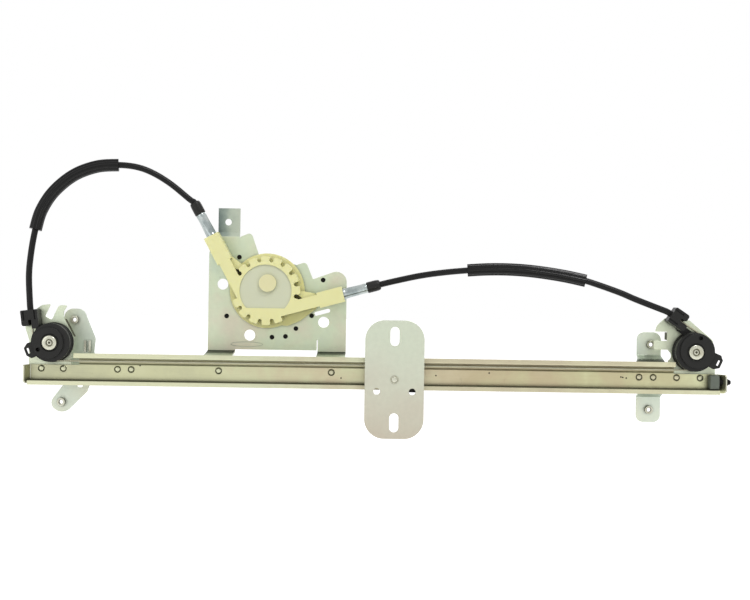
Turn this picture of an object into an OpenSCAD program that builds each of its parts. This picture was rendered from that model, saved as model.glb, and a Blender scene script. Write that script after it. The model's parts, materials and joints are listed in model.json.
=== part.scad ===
// Cable window regulator of a car door: guide rail, carrier, two end pulleys,
// drum housing on its motor plate, and the two Bowden conduits between them.
// Millimetres. X runs along the rail, Z is up, and the front of the part faces -Y.
// The origin is the drum axis at the back face of the motor plate.

/* [Rail] */
// Rail end to the left of the drum axis
rail_left = 187; // [182:1:192]
// Rail end to the right of the drum axis
rail_right = 368; // [364:1:374]
// Middle of the rail below the drum axis
rail_drop = 64.8; // [64:0.1:66]
// Height of the rail over both lips
rail_h = 25.4; // [25:0.1:26.4]
// Width of each lip that turns outward
lip_w = 3; // [2.5:0.1:3.4]
// Depth of the channel from web to lip face
channel_d = 8; // [7.6:0.1:9]
// Sheet thickness of the rail
rail_t = 1.2; // [0.9:0.1:1.4]
// Width of the raised strip behind the cable
strip_w = 4.2; // [3.5:0.1:4.8]
// Height of that strip over the web
strip_rise = 1.5; // [1.2:0.1:2]

/* [Cable and pulleys] */
// Cable line below the top edge of the rail
cable_below = 6.1; // [5.9:0.1:6.5]
// Diameter of the steel cable
cable_d = 1.6; // [1.4:0.1:1.8]
// Pitch radius of both end pulleys
pulley_r = 14.4; // [13.8:0.1:15]
// Left pulley axis, left of the drum axis
pulley_left = 168; // [166:0.5:170]
// Right pulley axis, right of the drum axis
pulley_right = 342.6; // [340:0.1:345]
// Width of a pulley wheel
wheel_w = 7; // [6:0.5:8]
// Radius of the shank of a pulley axle
axle_r = 3; // [2.5:0.1:3.4]
// Radius of the head of a pulley axle
head_r = 5.8; // [5.2:0.1:6.4]
// Outer diameter of the Bowden conduit
conduit_d = 5; // [4.6:0.1:5.4]
// Diameter of the protecting sleeve on each conduit
sleeve_d = 10.4; // [9.4:0.1:11.4]

/* [Motor plate and drum] */
// Sheet thickness of the motor plate and the brackets
plate_t = 1.5; // [1.2:0.1:1.8]
// Depth between the motor plate and the back of the rail
plate_step = 28; // [26:0.5:30]
// Radius of the pilot hole for the motor
pilot_r = 12; // [11:0.5:14]
// Radius of the three large fixing holes
fixing_r = 4.5; // [4:0.1:5]
// Radius of the hole in the top tab
tab_hole_r = 2.7; // [2.2:0.1:3.2]
// Radius at which the cable winds on the drum
drum_r = 18.4; // [17.6:0.1:19]
// Radius of the drum's drive bore
drive_r = 5; // [4.5:0.1:5.5]
// Outer radius of the toothed ring of the housing
ring_r = 27.8; // [27.2:0.1:28.4]
// Height of the housing over the motor plate
housing_h = 20; // [19:0.5:22]
// Number of notches round the ring
notches = 16; // [12:1:18]
// Length of an arm from its tangent point
arm_len = 60; // [58:1:64]
// Width of the wide end of an arm
arm_w = 12.6; // [12:0.1:13.4]

/* [Carrier] */
// Width of the carrier plate
carrier_w = 46.6; // [44:0.2:50]
// Height of the carrier plate
carrier_h = 93; // [90:1:97]
// Corner radius of the carrier plate
carrier_corner = 15.5; // [12:0.5:18]
// Thickness of the carrier plate
carrier_t = 2; // [1.5:0.1:2.5]
// Height between the two slots for the glass clamp
slot_pitch = 67.7; // [64:0.1:70]
// Width of each slot
slot_w = 7.2; // [6.4:0.1:8]
// Length of each slot from end to end
slot_len = 15; // [13:0.5:17]

/* [Mounting lugs] */
// Depth of the lugs behind the rail brackets
lug_step = 15; // [13:0.5:17]
// Core radius of the tapped lug holes
lug_thread_r = 2.1; // [1.9:0.05:2.5]

/* [Hidden] */
$fn = 48;

// Depths, front to back
fit = 0.05;
gap = 0.3;
rail_back = -(plate_t + plate_step);
web_front = rail_back - rail_t;
lip_front = web_front - channel_d;
disc_t = 2.5;
wheel_back = rail_back - disc_t - gap;
cable_y = wheel_back - wheel_w / 2;
cover_back = wheel_back - wheel_w - gap;
cover_t = 3;
cover_rise = 1.9;
head_t = 2.7;
carrier_back = cover_back - cover_t - cover_rise - head_t - 3;
lug_front = rail_back + plate_t + lug_step;

// Heights
rail_z = -rail_drop;
rail_top = rail_z + rail_h / 2;
rail_bottom = rail_z - rail_h / 2;
wall_top = rail_top - lip_w;
wall_bottom = rail_bottom + lip_w;
cable_z = rail_top - cable_below;
pulley_z = cable_z + pulley_r;
web_top = wall_top - rail_t - strip_w;
cable_r = cable_d / 2;

// Carrier at rest
carrier_x = 104.6;
carrier_z = -68.5;

// Directions in the XZ plane, from the tangent point towards the conduit
arm_dirs = [118.6, 15.4];
entry_dirs = [97, 146];
sides = [1, -1];
pulley_xs = [-pulley_left, pulley_right];

// Rivets on the web, as distances from the drum axis
rivet_z = web_top - 4.3;
rivet_r = 2;
rivet_head_r = 2.8;
rivet_head_t = 0.7;
rivet_cup_r = 1.5;
pulley_rivets = [[-177.6, -160], [330.6, 349.4]];
mount_rivets = [[-116.6, -105.7], [300.6, 311.9]];
foot_rivets = [-35.8, 54.4];
all_rivets = concat(pulley_rivets[0], pulley_rivets[1], mount_rivets[0], mount_rivets[1], foot_rivets);

// Routes of the two conduits between ferrule and pulley, as X, Y, Z
left_route = [[-63, -13.5, 73], [-78, -15, 85], [-92, -17, 93.5], [-105, -19, 98.2], [-120, -21, 99.6],
  [-137, -23, 98], [-155, -25, 90.7], [-170.5, -27, 77.2], [-180, -29, 61.5], [-184, -31, 46],
  [-186.5, -33, 28], [-187.6, -34.5, 9]];
right_route = [[104, -13, 9.3], [125, -15, 14], [145, -17, 17], [163, -19, 18.8], [178, -20.5, 19.8],
  [194, -22, 20], [210, -24, 19.2], [226.5, -26, 17.3], [242, -28, 14.8], [257, -30, 11.6],
  [282, -33, 3.2], [297, -34.5, -3]];
left_sleeve_span = [4, 9];
right_sleeve_span = [3, 9];

function unit(v) = v / norm(v);
function polar(r, a) = [r * cos(a), r * sin(a)];

// A closed outline with its corners rounded, each radius limited by its two edges;
// a point may bring its own radius as a third number
function flat_point(v) = [v.x, v.y];
function rounded(p, r) = [for (i = [0:len(p) - 1])
  let (v = flat_point(p[i]), a = flat_point(p[(i + len(p) - 1) % len(p)]) - v,
       b = flat_point(p[(i + 1) % len(p)]) - v, half = acos(unit(a) * unit(b)) / 2,
       d = min((is_undef(p[i][2]) ? r : p[i][2]) / tan(half), 0.47 * norm(a), 0.47 * norm(b)),
       rr = d * tan(half), c = v + unit(unit(a) + unit(b)) * rr / sin(half),
       s = v + unit(a) * d - c, e = v + unit(b) * d - c, n = ceil(2 + rr / 1.5))
  for (k = [0:n]) c + unit(s * (n - k) / n + e * k / n) * rr];

// An open path with its inner corners rounded
function bent(p, r, n = 4) = [p[0], for (i = [1:len(p) - 2])
  let (a = unit(p[i - 1] - p[i]), b = unit(p[i + 1] - p[i]), half = acos(a * b) / 2,
       c = p[i] + unit(a + b) * r / sin(half), d = r / tan(half),
       s = p[i] + a * d - c, e = p[i] + b * d - c)
  for (k = [0:n]) c + unit(s * (n - k) / n + e * k / n) * r, p[len(p) - 1]];

// The outline of a folded sheet of thickness t whose middle follows a path
function sheet(p, t, r) = let (q = bent(p, r), m = len(q) - 1,
  side = [for (j = [0:m])
    let (v = unit(q[min(j + 1, m)] - q[min(j, m - 1)]), w = unit(q[max(j, 1)] - q[max(j - 1, 0)]),
         h = unit(v + w)) [-h.y, h.x] * t / 2 / (h * v)])
  concat([for (j = [0:m]) q[j] + side[j]], [for (j = [m:-1:0]) q[j] - side[j]]);

// A smooth curve through points, n steps between two of them
function blend(a, b, c, d, t) = 0.5 * (2 * b + (c - a) * t + (2 * a - 5 * b + 4 * c - d) * t * t
  + (3 * b - a - 3 * c + d) * t * t * t);
function smooth(p, n) = [for (i = [0:len(p) - 2]) for (k = [0:n - 1])
  blend(p[max(i - 1, 0)], p[i], p[i + 1], p[min(i + 2, len(p) - 1)], k / n), p[len(p) - 1]];

// A round tube along a path of points
module tube(path, r, n, up = [0, 1, 0]) {
  last = len(path) - 1;
  points = [for (i = [0:last])
    let (t = unit(path[min(i + 1, last)] - path[max(i - 1, 0)]), u = unit(cross(up, t)), v = cross(t, u))
    for (k = [0:n - 1]) path[i] + r * (cos(360 * k / n) * u + sin(360 * k / n) * v)];
  walls = [for (i = [0:last - 1]) for (k = [0:n - 1])
    let (a = i * n + k, b = i * n + (k + 1) % n) each [[a, a + n, b], [b, a + n, b + n]]];
  polyhedron(points, concat([[for (k = [0:n - 1]) k]], [[for (k = [n - 1:-1:0]) last * n + k]], walls));
}

// Placing helpers: a flat shape in XZ with its back at a depth, a profile in YZ
// swept along X, a profile in XY swept up Z, a cylinder along Y, and a local frame
module flat(back, t) translate([0, back, 0]) rotate([90, 0, 0]) linear_extrude(t) children();
module along_x(x, length) translate([x, 0, 0]) rotate([90, 0, 90]) linear_extrude(length) children();
module pin_y(x, z, back, length, r) translate([x, back, z]) rotate([90, 0, 0]) cylinder(r = r, h = length);
module aim(x, y, z, a) translate([x, y, z]) rotate([0, -a, 0]) children();
module rod(x0, x1, r) translate([x0, 0, 0]) rotate([0, 90, 0]) cylinder(r = r, h = x1 - x0);
module slot(length, w) {
  square([length - w, w], center = true);
  for (s = [-1, 1]) translate([s * (length - w) / 2, 0]) circle(d = w);
}
module rounded_plate(w, h, r) {
  square([w - 2 * r, h], center = true);
  square([w, h - 2 * r], center = true);
  for (x = [-1, 1], z = [-1, 1]) translate([x * (w / 2 - r), z * (h / 2 - r)]) circle(r = r);
}

// Guide rail: a channel open to the front, its lips turned outward, with the top
// wall cut away for the pulleys and a flange turned forward at each end. The one
// pressed sheet is kept as four nodes that meet face to face: its web, each lip
// with its wall, and the end flanges
pulley_room = 17.6;
lip_start = -pulley_left + pulley_room;
lip_end = pulley_right - pulley_room + 3;
flange_out = 10;
flange_lean = [2.2, 4.4];
flange_corner = 5;
flange_low = rail_bottom + 1;
lip_notch = 3.4;
module end_flange(i) {
  s = i == 0 ? -1 : 1;
  tip = i == 0 ? rail_left + flange_lean[0] : rail_right;
  mid = web_front + rail_t / 2;
  intersection() {
    translate([0, 0, flange_low]) linear_extrude(web_top - flange_low)
      polygon(sheet([[s * (tip - flange_lean[i] - 6), mid], [s * (tip - flange_lean[i]), mid],
        [s * tip, web_front - flange_out]], rail_t, 1.2));
    along_x(s > 0 ? tip - 16 : -tip - 4, 20)
      polygon(rounded([[web_front + rail_t, flange_low, 0.1], [web_front + rail_t, web_top, 0.1],
        [web_front - flange_out - 1, web_top, flange_corner],
        [web_front - flange_out - 1, flange_low, flange_corner]], 1));
  }
}
module rail_profile() {
  t = rail_t;
  strip_mid = web_front - strip_rise + t / 2;
  polygon(sheet([
    [lip_front + t / 2, rail_top], [lip_front + t / 2, wall_top - t / 2],
    [strip_mid, wall_top - t / 2], [strip_mid, web_top + t],
    [web_front + t / 2, web_top - t / 2], [web_front + t / 2, wall_bottom + t / 2],
    [lip_front + t / 2, wall_bottom + t / 2], [lip_front + t / 2, rail_bottom]], t, 0.75));
}
buffer_low = wall_bottom + rail_t + 0.1;
buffer_high = web_top - 1.5;
buffer_z = (buffer_low + buffer_high) / 2;
buffer_y = web_front - 5.3;
neck_r = 2;
web_end = rail_right - flange_lean[1];
module rail_sheet() {
  difference() {
    union() {
      along_x(-rail_left, rail_left + web_end) rail_profile();
      for (i = [0, 1]) end_flange(i);
    }
    for (x = [[-rail_left - 5, lip_start], [lip_end, rail_right + 5]])
      translate([x[0], lip_front - 1, web_top - rail_t])
        cube([x[1] - x[0], channel_d + rail_t + 2, rail_h]);
    translate([lip_start - 1, lip_front + rail_t, web_top - rail_t])
      cube([lip_notch + 1, channel_d + 1, wall_top - web_top + rail_t]);
    for (x = all_rivets) pin_y(x, rivet_z, rail_back + 1, rail_t + 2, rivet_r + fit);
    translate([web_end, buffer_y, buffer_z]) rod(0.1, flange_lean[1] + 2, neck_r + fit);
  }
}
web_from = 1.6 - rail_left;
web_to = web_end - 1.6;
lips_behind = web_front - strip_rise - 0.4;
module rail_part(x0, x1, low, high) color([0.78, 0.77, 0.62]) intersection() {
  rail_sheet();
  translate([x0, low.x, low.y]) cube([x1 - x0, high.x - low.x, high.y - low.y]);
}
module guide_rail() rail_part(web_from, web_to, [lips_behind, rail_bottom - 1], [rail_back + 1, rail_top + 1]);
module rail_upper_lip() rail_part(web_from, web_to, [lip_front - 1, rail_z], [lips_behind, rail_top + 1]);
module rail_lower_lip() rail_part(web_from, web_to, [lip_front - 1, rail_bottom - 1], [lips_behind, rail_z]);
module rail_end_flanges() {
  for (x = [[web_from - 20, web_from], [web_to, web_to + 20]])
    rail_part(x[0], x[1], [lip_front - 20, rail_bottom - 1], [rail_back + 1, rail_top + 1]);
}

module rail_rivets() {
  color([0.74, 0.73, 0.58]) for (x = all_rivets) difference() {
    union() {
      pin_y(x, rivet_z, rail_back + plate_t + rivet_head_t, rail_t + plate_t + 2 * rivet_head_t, rivet_r);
      pin_y(x, rivet_z, web_front, rivet_head_t, rivet_head_r);
      pin_y(x, rivet_z, rail_back + plate_t + rivet_head_t, rivet_head_t, rivet_head_r);
    }
    pin_y(x, rivet_z, web_front - 0.2, 1, rivet_cup_r);
  }
}
module rivet_holes(xs) for (x = xs) pin_y(x, rivet_z, rail_back + plate_t + 1, plate_t + 2, rivet_r + fit);

// Pulley brackets: plates behind the rail that carry the pulleys, each with a
// narrow flange turned backward
pad_h = 12.8;
pad_bottom = rivet_z - pad_h / 2;
flange_back = 8;
module left_pulley_bracket() {
  x = -pulley_left;
  z = pulley_z;
  edge = [[x + 7.8, z + 18.6], [x + 15.2, z + 4.7]];
  inward = plate_t * unit([edge[1].y - edge[0].y, edge[0].x - edge[1].x]);
  color([0.72, 0.74, 0.66]) difference() {
    union() {
      flat(rail_back + plate_t + flange_back, flange_back + plate_t / 2)
        polygon([edge[0], edge[0] + inward, edge[1] + inward, edge[1]]);
      flat(rail_back + plate_t, plate_t) polygon(rounded([
        [x - 20, pad_bottom], [x - 20, z + 1], [x - 23.4, z + 11.5], [x - 15, z + 26, 6],
        [x - 10, z + 29.6, 3], [x - 3.2, z + 30.4, 0.5], [x - 7.6, z + 20.6, 1], [x - 2.2, z + 17.8, 1],
        [x + 3.4, z + 29.6, 3.5], [x + 10.2, z + 29.6, 0.8], [x + 7.3, z + 24.8, 3], [x + 7.3, z + 19.9, 2],
        [x + 15.8, z + 3.9, 2], [x + 15.7, z - 1.9], [x + 14, z - 9.1], [x + 14, pad_bottom]], 1.6));
    }
    pin_y(x, z, rail_back + plate_t + 1, plate_t + 2, axle_r + fit);
    rivet_holes(pulley_rivets[0]);
  }
}
module right_pulley_bracket() {
  x = pulley_right;
  z = pulley_z;
  color([0.72, 0.74, 0.66]) difference() {
    union() {
      flat(rail_back + plate_t, plate_t) difference() {
        polygon(rounded([
          [x - 18.6, pad_bottom], [x - 18.6, z + 1.2, 0.5], [x - 30.2, z + 1.2, 0.5],
          [x - 30.2, z + 8.3, 0.5], [x - 19.8, z + 8.3, 0.3], [x - 19.8, z + 15.6, 0.3],
          [x - 29.4, z + 15.6, 0.6], [x - 28, z + 20.4, 4],
          [x - 21, z + 27, 4], [x - 2, z + 25], [x + 16.8, z + 9.4, 5],
          [x + 19, z], [x + 19, pad_bottom]], 1.4));
        translate([x - 20.6, z - 3.6]) circle(r = 4.3);
      }
      translate([x - 19.8, rail_back + plate_t / 2, z + 9]) cube([plate_t, flange_back + plate_t / 2, 6]);
    }
    pin_y(x, z, rail_back + plate_t + 1, plate_t + 2, axle_r + fit);
    rivet_holes(pulley_rivets[1]);
  }
}

// Mount brackets: lugs stepped back behind the rail, each with a tapped collar
bracket_hole = [-150.4, -78.4];
bracket_hole_r = 2.6;
lug_mid = lug_front + plate_t / 2;
pad_mid = rail_back + plate_t / 2;
collar_r = lug_thread_r + 1.2;
collar_h = 3;
left_lugs = [[-155.2, -25.9], [-165.2, -92.8]];
right_lugs = [[313, -39.1], [312, -92.1]];
module collars(lugs) for (p = lugs) pin_y(p[0], p[1], lug_front, collar_h, collar_r);
module tapped(lugs) for (p = lugs)
  pin_y(p[0], p[1], lug_front + plate_t + 1, plate_t + collar_h + 2, lug_thread_r);
module left_mount_bracket() {
  color([0.71, 0.74, 0.66]) difference() {
    union() {
      flat(lug_front + plate_t, plate_t) {
        polygon(rounded([[-164.2, -16.9, 8], [-148.4, -16.9, 7], [-138.3, -41, 6], [-139.4, -52.4],
          [-136, rivet_z + 7], [-136, rivet_z - 7], [-142.6, -78.6, 3], [-144.6, -84.4, 4],
          [-163.4, -103.2, 9], [-176.6, -95.4, 9], [-163.7, -78.4], [-163.7, -56]], 2.4));
      }
      translate([0, 0, pad_bottom]) linear_extrude(pad_h)
        polygon(sheet([[-137, lug_mid], [-133, lug_mid], [-127, pad_mid], [-99, pad_mid]], plate_t, 2));
      collars(left_lugs);
      for (x = [-147.4, -143.6]) translate([x, lug_front - 1.6, -52]) cube([1.8, 1.6, 9.4]);
    }
    tapped(left_lugs);
    rivet_holes(mount_rivets[0]);
    pin_y(bracket_hole[0], bracket_hole[1], lug_front + plate_t + 1, plate_t + 2, bracket_hole_r);
  }
}
module right_mount_bracket() {
  top = -29;
  bottom = -102.2;
  color([0.7, 0.73, 0.65]) difference() {
    union() {
      intersection() {
        along_x(290, 40) polygon(sheet([[lug_mid, top], [lug_mid, -48.5], [pad_mid, -53],
          [pad_mid, rail_bottom + 2], [lug_mid, rail_bottom - 3.6], [lug_mid, bottom]], plate_t, 2));
        flat(10, 80) polygon(rounded([[302, top, 6], [302, -50], [296, -56], [296, -72], [302, -78],
          [302, bottom, 5.5], [321.6, bottom, 5.5], [321.6, top, 6.5]], 1.5));
      }
      collars(right_lugs);
    }
    tapped(right_lugs);
    rivet_holes(mount_rivets[1]);
  }
}

// End pulleys: a base with the hub and the conduit holder, a grooved wheel that
// turns on the hub, a cover with a snap loop, and a riveted axle through them
hub_r = 5;
disc_r = 15.9;
wheel_rim = pulley_r + 1;
holder_len = 15.2;
holder_w = 13.4;
holder_at = [12.4, 17];
holder_front = cable_y - 6.6;
prong_reach = [2.6, 0];
socket_depth = 8;
entry_slot = 2.4;
rib_gap = 1.2;
strut_at = 4.5;
strut_w = 6;
function tangent(side) = let (i = side > 0 ? 0 : 1)
  [pulley_xs[i], pulley_z] + polar(pulley_r, entry_dirs[i] + 90 * side);
module at_entry(i) aim(tangent(sides[i])[0], cable_y, tangent(sides[i])[1], entry_dirs[i]) children();
module in_entry(i) translate(tangent(sides[i])) rotate(entry_dirs[i]) children();

// The holder seen from the front: a block with two prongs that point at the pulley,
// the outer one shorter, and the cable running free between them
module holder_outline(i) {
  s = sides[i];
  from = holder_at[i];
  to = from + holder_len;
  mouth = to - socket_depth;
  in_entry(i) polygon(rounded([[from + prong_reach[0], s * holder_w / 2, 1.8], [to, s * holder_w / 2, 0.8],
    [to, -s * holder_w / 2, 0.8], [from + prong_reach[1], -s * holder_w / 2, 2.2],
    [from + prong_reach[1], -s * entry_slot / 2, 0.8], [mouth, -s * entry_slot / 2, 0.3],
    [mouth, s * entry_slot / 2, 0.3], [from + prong_reach[0], s * entry_slot / 2, 1]], 0.5));
}
module pulley_base(i) {
  x = pulley_xs[i];
  color([0.13, 0.13, 0.12]) difference() {
    union() {
      flat(rail_back, disc_t) {
        translate([x, pulley_z]) circle(r = disc_r);
        in_entry(i) translate([0, -sides[i] * strut_at - strut_w / 2])
          square([holder_at[i] + prong_reach[1] + 3, strut_w]);
        holder_outline(i);
      }
      flat(rail_back, rail_back - holder_front) difference() {
        holder_outline(i);
        translate([x, pulley_z]) circle(r = wheel_rim + gap);
      }
      pin_y(x, pulley_z, rail_back, rail_back - cover_back, hub_r);
    }
    at_entry(i) {
      rod(holder_at[i] + holder_len - socket_depth - 1, holder_at[i] + holder_len + 1, conduit_d / 2 + fit);
      for (z = [-4.4, 4.4])
        translate([holder_at[i] + holder_len - socket_depth, holder_front - cable_y - 1, z - rib_gap / 2])
          cube([socket_depth + 1, 2.2, rib_gap]);
    }
    pin_y(x, pulley_z, rail_back + 1, 20, axle_r + fit);
  }
}
module pulley_wheel(i) {
  w = wheel_w / 2;
  root = pulley_r - cable_r - gap;
  mouth = cable_r + gap;
  color([0.17, 0.17, 0.16]) translate([pulley_xs[i], cable_y, pulley_z]) rotate([90, 0, 0]) rotate_extrude()
    polygon([[hub_r + fit, -w], [wheel_rim, -w], [wheel_rim, -mouth - 0.6], [root + 0.6, -mouth],
      [root, -0.6], [root, 0.6], [root + 0.6, mouth], [wheel_rim, mouth + 0.6],
      [wheel_rim, w], [hub_r + fit, w]]);
}
loop_dirs = [202, -24];
loop_out = [0.8, 2.2];
index_at = [[10.8, 211.3], [11.7, 71.6]];
plateau_r = [12.3, 13.6];
plateau_at = [[-1.6, -0.2], [1.4, 1]];
module pulley_cover(i) {
  x = pulley_xs[i];
  color([0.15, 0.15, 0.14]) difference() {
    union() {
      pin_y(x, pulley_z, cover_back, cover_t, wheel_rim);
      pin_y(x + plateau_at[i][0], pulley_z + plateau_at[i][1], cover_back - cover_t, cover_rise, plateau_r[i]);
      flat(cover_back, cover_t) translate([x, pulley_z]) rotate(loop_dirs[i]) translate([loop_out[i], 0])
        polygon(rounded([[6, -5.5], [16.6, -6.2], [20.4, -3.4], [20.4, 3], [17.4, 6.2], [6, 6]], 1.2));
    }
    flat(cover_back + 1, cover_t + 2) translate([x, pulley_z]) rotate(loop_dirs[i])
      translate([loop_out[i] + 17.9, -0.2]) square([2.1, 4.6], center = true);
    pin_y(x + polar(index_at[i][0], index_at[i][1])[0], pulley_z + polar(index_at[i][0], index_at[i][1])[1],
      cover_back - cover_t + 2, 10, 1.6);
    pin_y(x, pulley_z, cover_back + 1, 20, axle_r + fit);
    pin_y(x, pulley_z, cover_back - cover_t - cover_rise + 0.6, 5, head_r + 1.1);
  }
}
module pulley_axle(i) {
  front = cover_back - cover_t - cover_rise + 0.6;
  color([0.8, 0.8, 0.74]) difference() {
    union() {
      pin_y(pulley_xs[i], pulley_z, rail_back + plate_t + 1.2, rail_back + plate_t + 1.2 - front, axle_r);
      pin_y(pulley_xs[i], pulley_z, front, head_t, head_r);
      pin_y(pulley_xs[i], pulley_z, rail_back + plate_t + 1.2, 1.2, head_r - 1);
    }
    pin_y(pulley_xs[i], pulley_z, front - head_t + 1.6, 3, 2.5);
  }
}

// Motor plate: one sheet with a top tab stepped back and two feet that fold
// forward to the back of the rail
feet = [[-48.5, -26], [41.8, 65]];
plate_low = -48.5;
slit_x = 41.4;
slit_w = 0.8;
slit_h = 8.5;
tab_xs = [-41.4, -23.5];
tab_bend = 43;
tab_top = 67.5;
tab_hole = [-33.2, 56.1];
fixings = [[-36.8, 4.9], [-14.1, -36.7], [46.5, -25.2]];
plug_r = 1.9;
plugs = [[-23.5, 27.3], [45.6, 9.5], [-33.3, -21.2], [4.2, -38.1], [15.3, -37.3], [23.8, -30.7], [36.6, -20]];
screw_r = 1.5;
screw_dirs = [68.75, 170, 293.75];
screw_at = 24.4;
relief = [45.2, -17];
relief_len = 13.5;
relief_w = 3.2;
module motor_plate() {
  t = plate_t;
  color([0.76, 0.79, 0.7]) difference() {
    union() {
      flat(0, t) polygon(rounded([[feet[0][0], plate_low], [-48.3, 31], [tab_xs[0], 40], [tab_xs[0], tab_bend],
        [tab_xs[1], tab_bend], [-22.6, 44.2], [-14, 47.8, 3], [-7.4, 29], [3, 26], [23.7, 21.6],
        [31.4, 24.2, 3], [37.2, 10, 1], [feet[1][1], 20.2, 8.5], [feet[1][1], plate_low]], 1.2));
      along_x(tab_xs[0], tab_xs[1] - tab_xs[0]) polygon(sheet([[-t / 2, tab_bend - 1], [-t / 2, tab_bend + 1],
        [2.5 - t / 2, tab_bend + 4.5], [2.5 - t / 2, tab_top]], t, 0.9));
      for (f = feet) along_x(f[0], f[1] - f[0]) polygon(sheet([[-t / 2, plate_low + 4], [-t / 2, plate_low - 2],
        [pad_mid, rail_top - 1.4], [pad_mid, pad_bottom]], t, 1.6));
    }
    pin_y(0, 0, 1, t + 2, pilot_r);
    for (p = fixings) pin_y(p[0], p[1], 1, t + 2, fixing_r);
    pin_y(tab_hole[0], tab_hole[1], 4, t + 4, tab_hole_r);
    for (p = plugs) pin_y(p[0], p[1], 1, t + 2, plug_r + fit);
    for (a = screw_dirs) pin_y(polar(screw_at, a)[0], polar(screw_at, a)[1], 1, t + 2, screw_r + fit);
    flat(1, t + 2) translate(relief) rotate(arm_dirs[1]) slot(relief_len, relief_w);
    translate([slit_x - slit_w / 2, -t - 1, plate_low - 3]) cube([slit_w, t + 2, slit_h + 3]);
    rivet_holes(foot_rivets);
  }
}
module plate_plugs() {
  color([0.1, 0.1, 0.1]) for (p = plugs) {
    pin_y(p[0], p[1], 1, plate_t + 1.3, plug_r);
    pin_y(p[0], p[1], 1, 1, plug_r + 0.8);
  }
}

// Drum housing: flange, notched ring and front wall over the drum, and two
// arms in line with the cable where it leaves the drum
cavity_r = drum_r + 2.8;
flange_r = 30.6;
flange_t = 3;
wall_t = 2.2;
notch_at = 24.9;
notch_depth = 15;
notch_w = 3.4;
notch_first = 12.5;
tooth_round = 1.7;
arm_y = -12.5;
arm_wide_from = [36.2, 39.2];
arm_clear = 7;
arm_wide_back = arm_y + 6.5;
arm_narrow_w = 9.6;
arm_narrow_back = arm_y + 5.5;
spring_room = 4.7;
spring_from = 40.5;
ferrule_in = 5;
ferrule_r = 4;
housing_front = -plate_t - housing_h;
boss_at = [1.6, 6.1];
boss_r = 7;
boss_h = 1.6;
window_r = 21;
window_low = -14.2;
disc_sunk = 1;
spigot_len = 7;
spigot_r = 4;
function arm_start(i) = polar(drum_r, arm_dirs[i] + 90 * sides[i]);
module at_arm(i) aim(arm_start(i)[0], arm_y, arm_start(i)[1], arm_dirs[i]) children();
module in_arm(i) translate(arm_start(i)) rotate(arm_dirs[i]) mirror([0, sides[i] > 0 ? 0 : 1]) children();

// Flange ears under each arm and the web that braces it, as distance along the arm
// and outward from its middle
ears = [[[0, -2], [0, 8.8], [12, 8.4], [34, 4.6], [34, -2]],
  [[0, -2], [0, 10.6], [9, 13.7], [20, 12.2], [28, 8.8], [37.5, 5.2], [37.5, -2]]];
ear_round = 6;
arm_web = [[22, -14], [25.5, -12], [38, -6.2], [38, -4], [28, -4], [23, -9.6]];
web_h = 15;

// A notch between two teeth, cut from outside: round bottom, rounded tooth corners
function notch_side(s) = let (corner = [ring_r - tooth_round, s * (notch_w / 2 + tooth_round)])
  concat([for (a = [90:-30:0]) [notch_at, 0] + notch_w / 2 * [-sin(a), s * cos(a)]],
    [for (a = [-90:22.5:0]) corner + tooth_round * [cos(a), s * sin(a)]], [[ring_r + 1, corner.y]]);
function backward(p) = [for (k = [len(p) - 1:-1:1]) p[k]];
module notch() polygon(concat(notch_side(1), backward(notch_side(-1))));

// Degrees round the ring from where an arm's cable leaves the drum, towards that arm
function past_tangent(i, a) = let (d = (arm_dirs[i] + 90 * sides[i] - a) * sides[i]) d - 360 * floor(d / 360);
function is_under_arm(a) = past_tangent(0, a) > 20 && past_tangent(0, a) < 50
  || past_tangent(1, a) > 20 && past_tangent(1, a) < 50;
notch_angles = [for (k = [0:notches - 1]) let (a = notch_first + 360 * k / notches) if (!is_under_arm(a)) a];
module toothed_ring() difference() {
  flat(-plate_t, housing_h) difference() {
    circle(r = ring_r);
    for (i = [0, 1]) in_arm(i) translate([arm_clear, arm_narrow_w / 2]) square([40, 20]);
  }
  flat(housing_front + notch_depth, notch_depth + 1) for (a = notch_angles) rotate(a) notch();
}

module drum_housing() {
  color([0.9, 0.88, 0.66]) difference() {
    union() {
      flat(-plate_t, flange_t) {
        circle(r = flange_r);
        for (i = [0, 1]) in_arm(i) polygon(rounded(ears[i], ear_round));
      }
      toothed_ring();
      flat(-plate_t, web_h) for (i = [0, 1]) in_arm(i) polygon(arm_web);
      for (i = [0, 1]) flat(arm_narrow_back, arm_narrow_back - housing_front) in_arm(i)
        translate([0, -arm_narrow_w / 2]) square([arm_wide_from[i] + 1, arm_narrow_w]);
      for (i = [0, 1]) flat(arm_wide_back, arm_wide_back - housing_front) in_arm(i)
        translate([arm_wide_from[i], -arm_w / 2]) square([arm_len - arm_wide_from[i], arm_w]);
      pin_y(boss_at[0], boss_at[1], housing_front, boss_h, boss_r);
    }
    pin_y(0, 0, -plate_t + 1, housing_h - wall_t + 1, cavity_r);
    flat(housing_front + disc_sunk, disc_sunk + 1) difference() {
      circle(r = window_r);
      translate([-window_r - 1, window_low - window_r]) square([2 * window_r + 2, window_r]);
      translate(boss_at) circle(r = boss_r);
    }
    for (i = [0, 1]) at_arm(i) {
      rod(spring_from, arm_len + 1, spring_room);
      rod(2, spring_from + 1, cable_r + gap);
    }
    for (a = screw_dirs)
      pin_y(polar(screw_at, a)[0], polar(screw_at, a)[1], -plate_t + 1, 7.5, screw_r + fit);
  }
  color([0.9, 0.88, 0.66]) pin_y(0, 0, housing_front + spigot_len, spigot_len - wall_t + 0.1, spigot_r);
}
module housing_screws() {
  color([0.7, 0.7, 0.66]) for (a = screw_dirs) {
    pin_y(polar(screw_at, a)[0], polar(screw_at, a)[1], 1.8, 1.8 + plate_t + 6, screw_r);
    pin_y(polar(screw_at, a)[0], polar(screw_at, a)[1], 1.8, 1.8, 3.1);
  }
}

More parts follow.
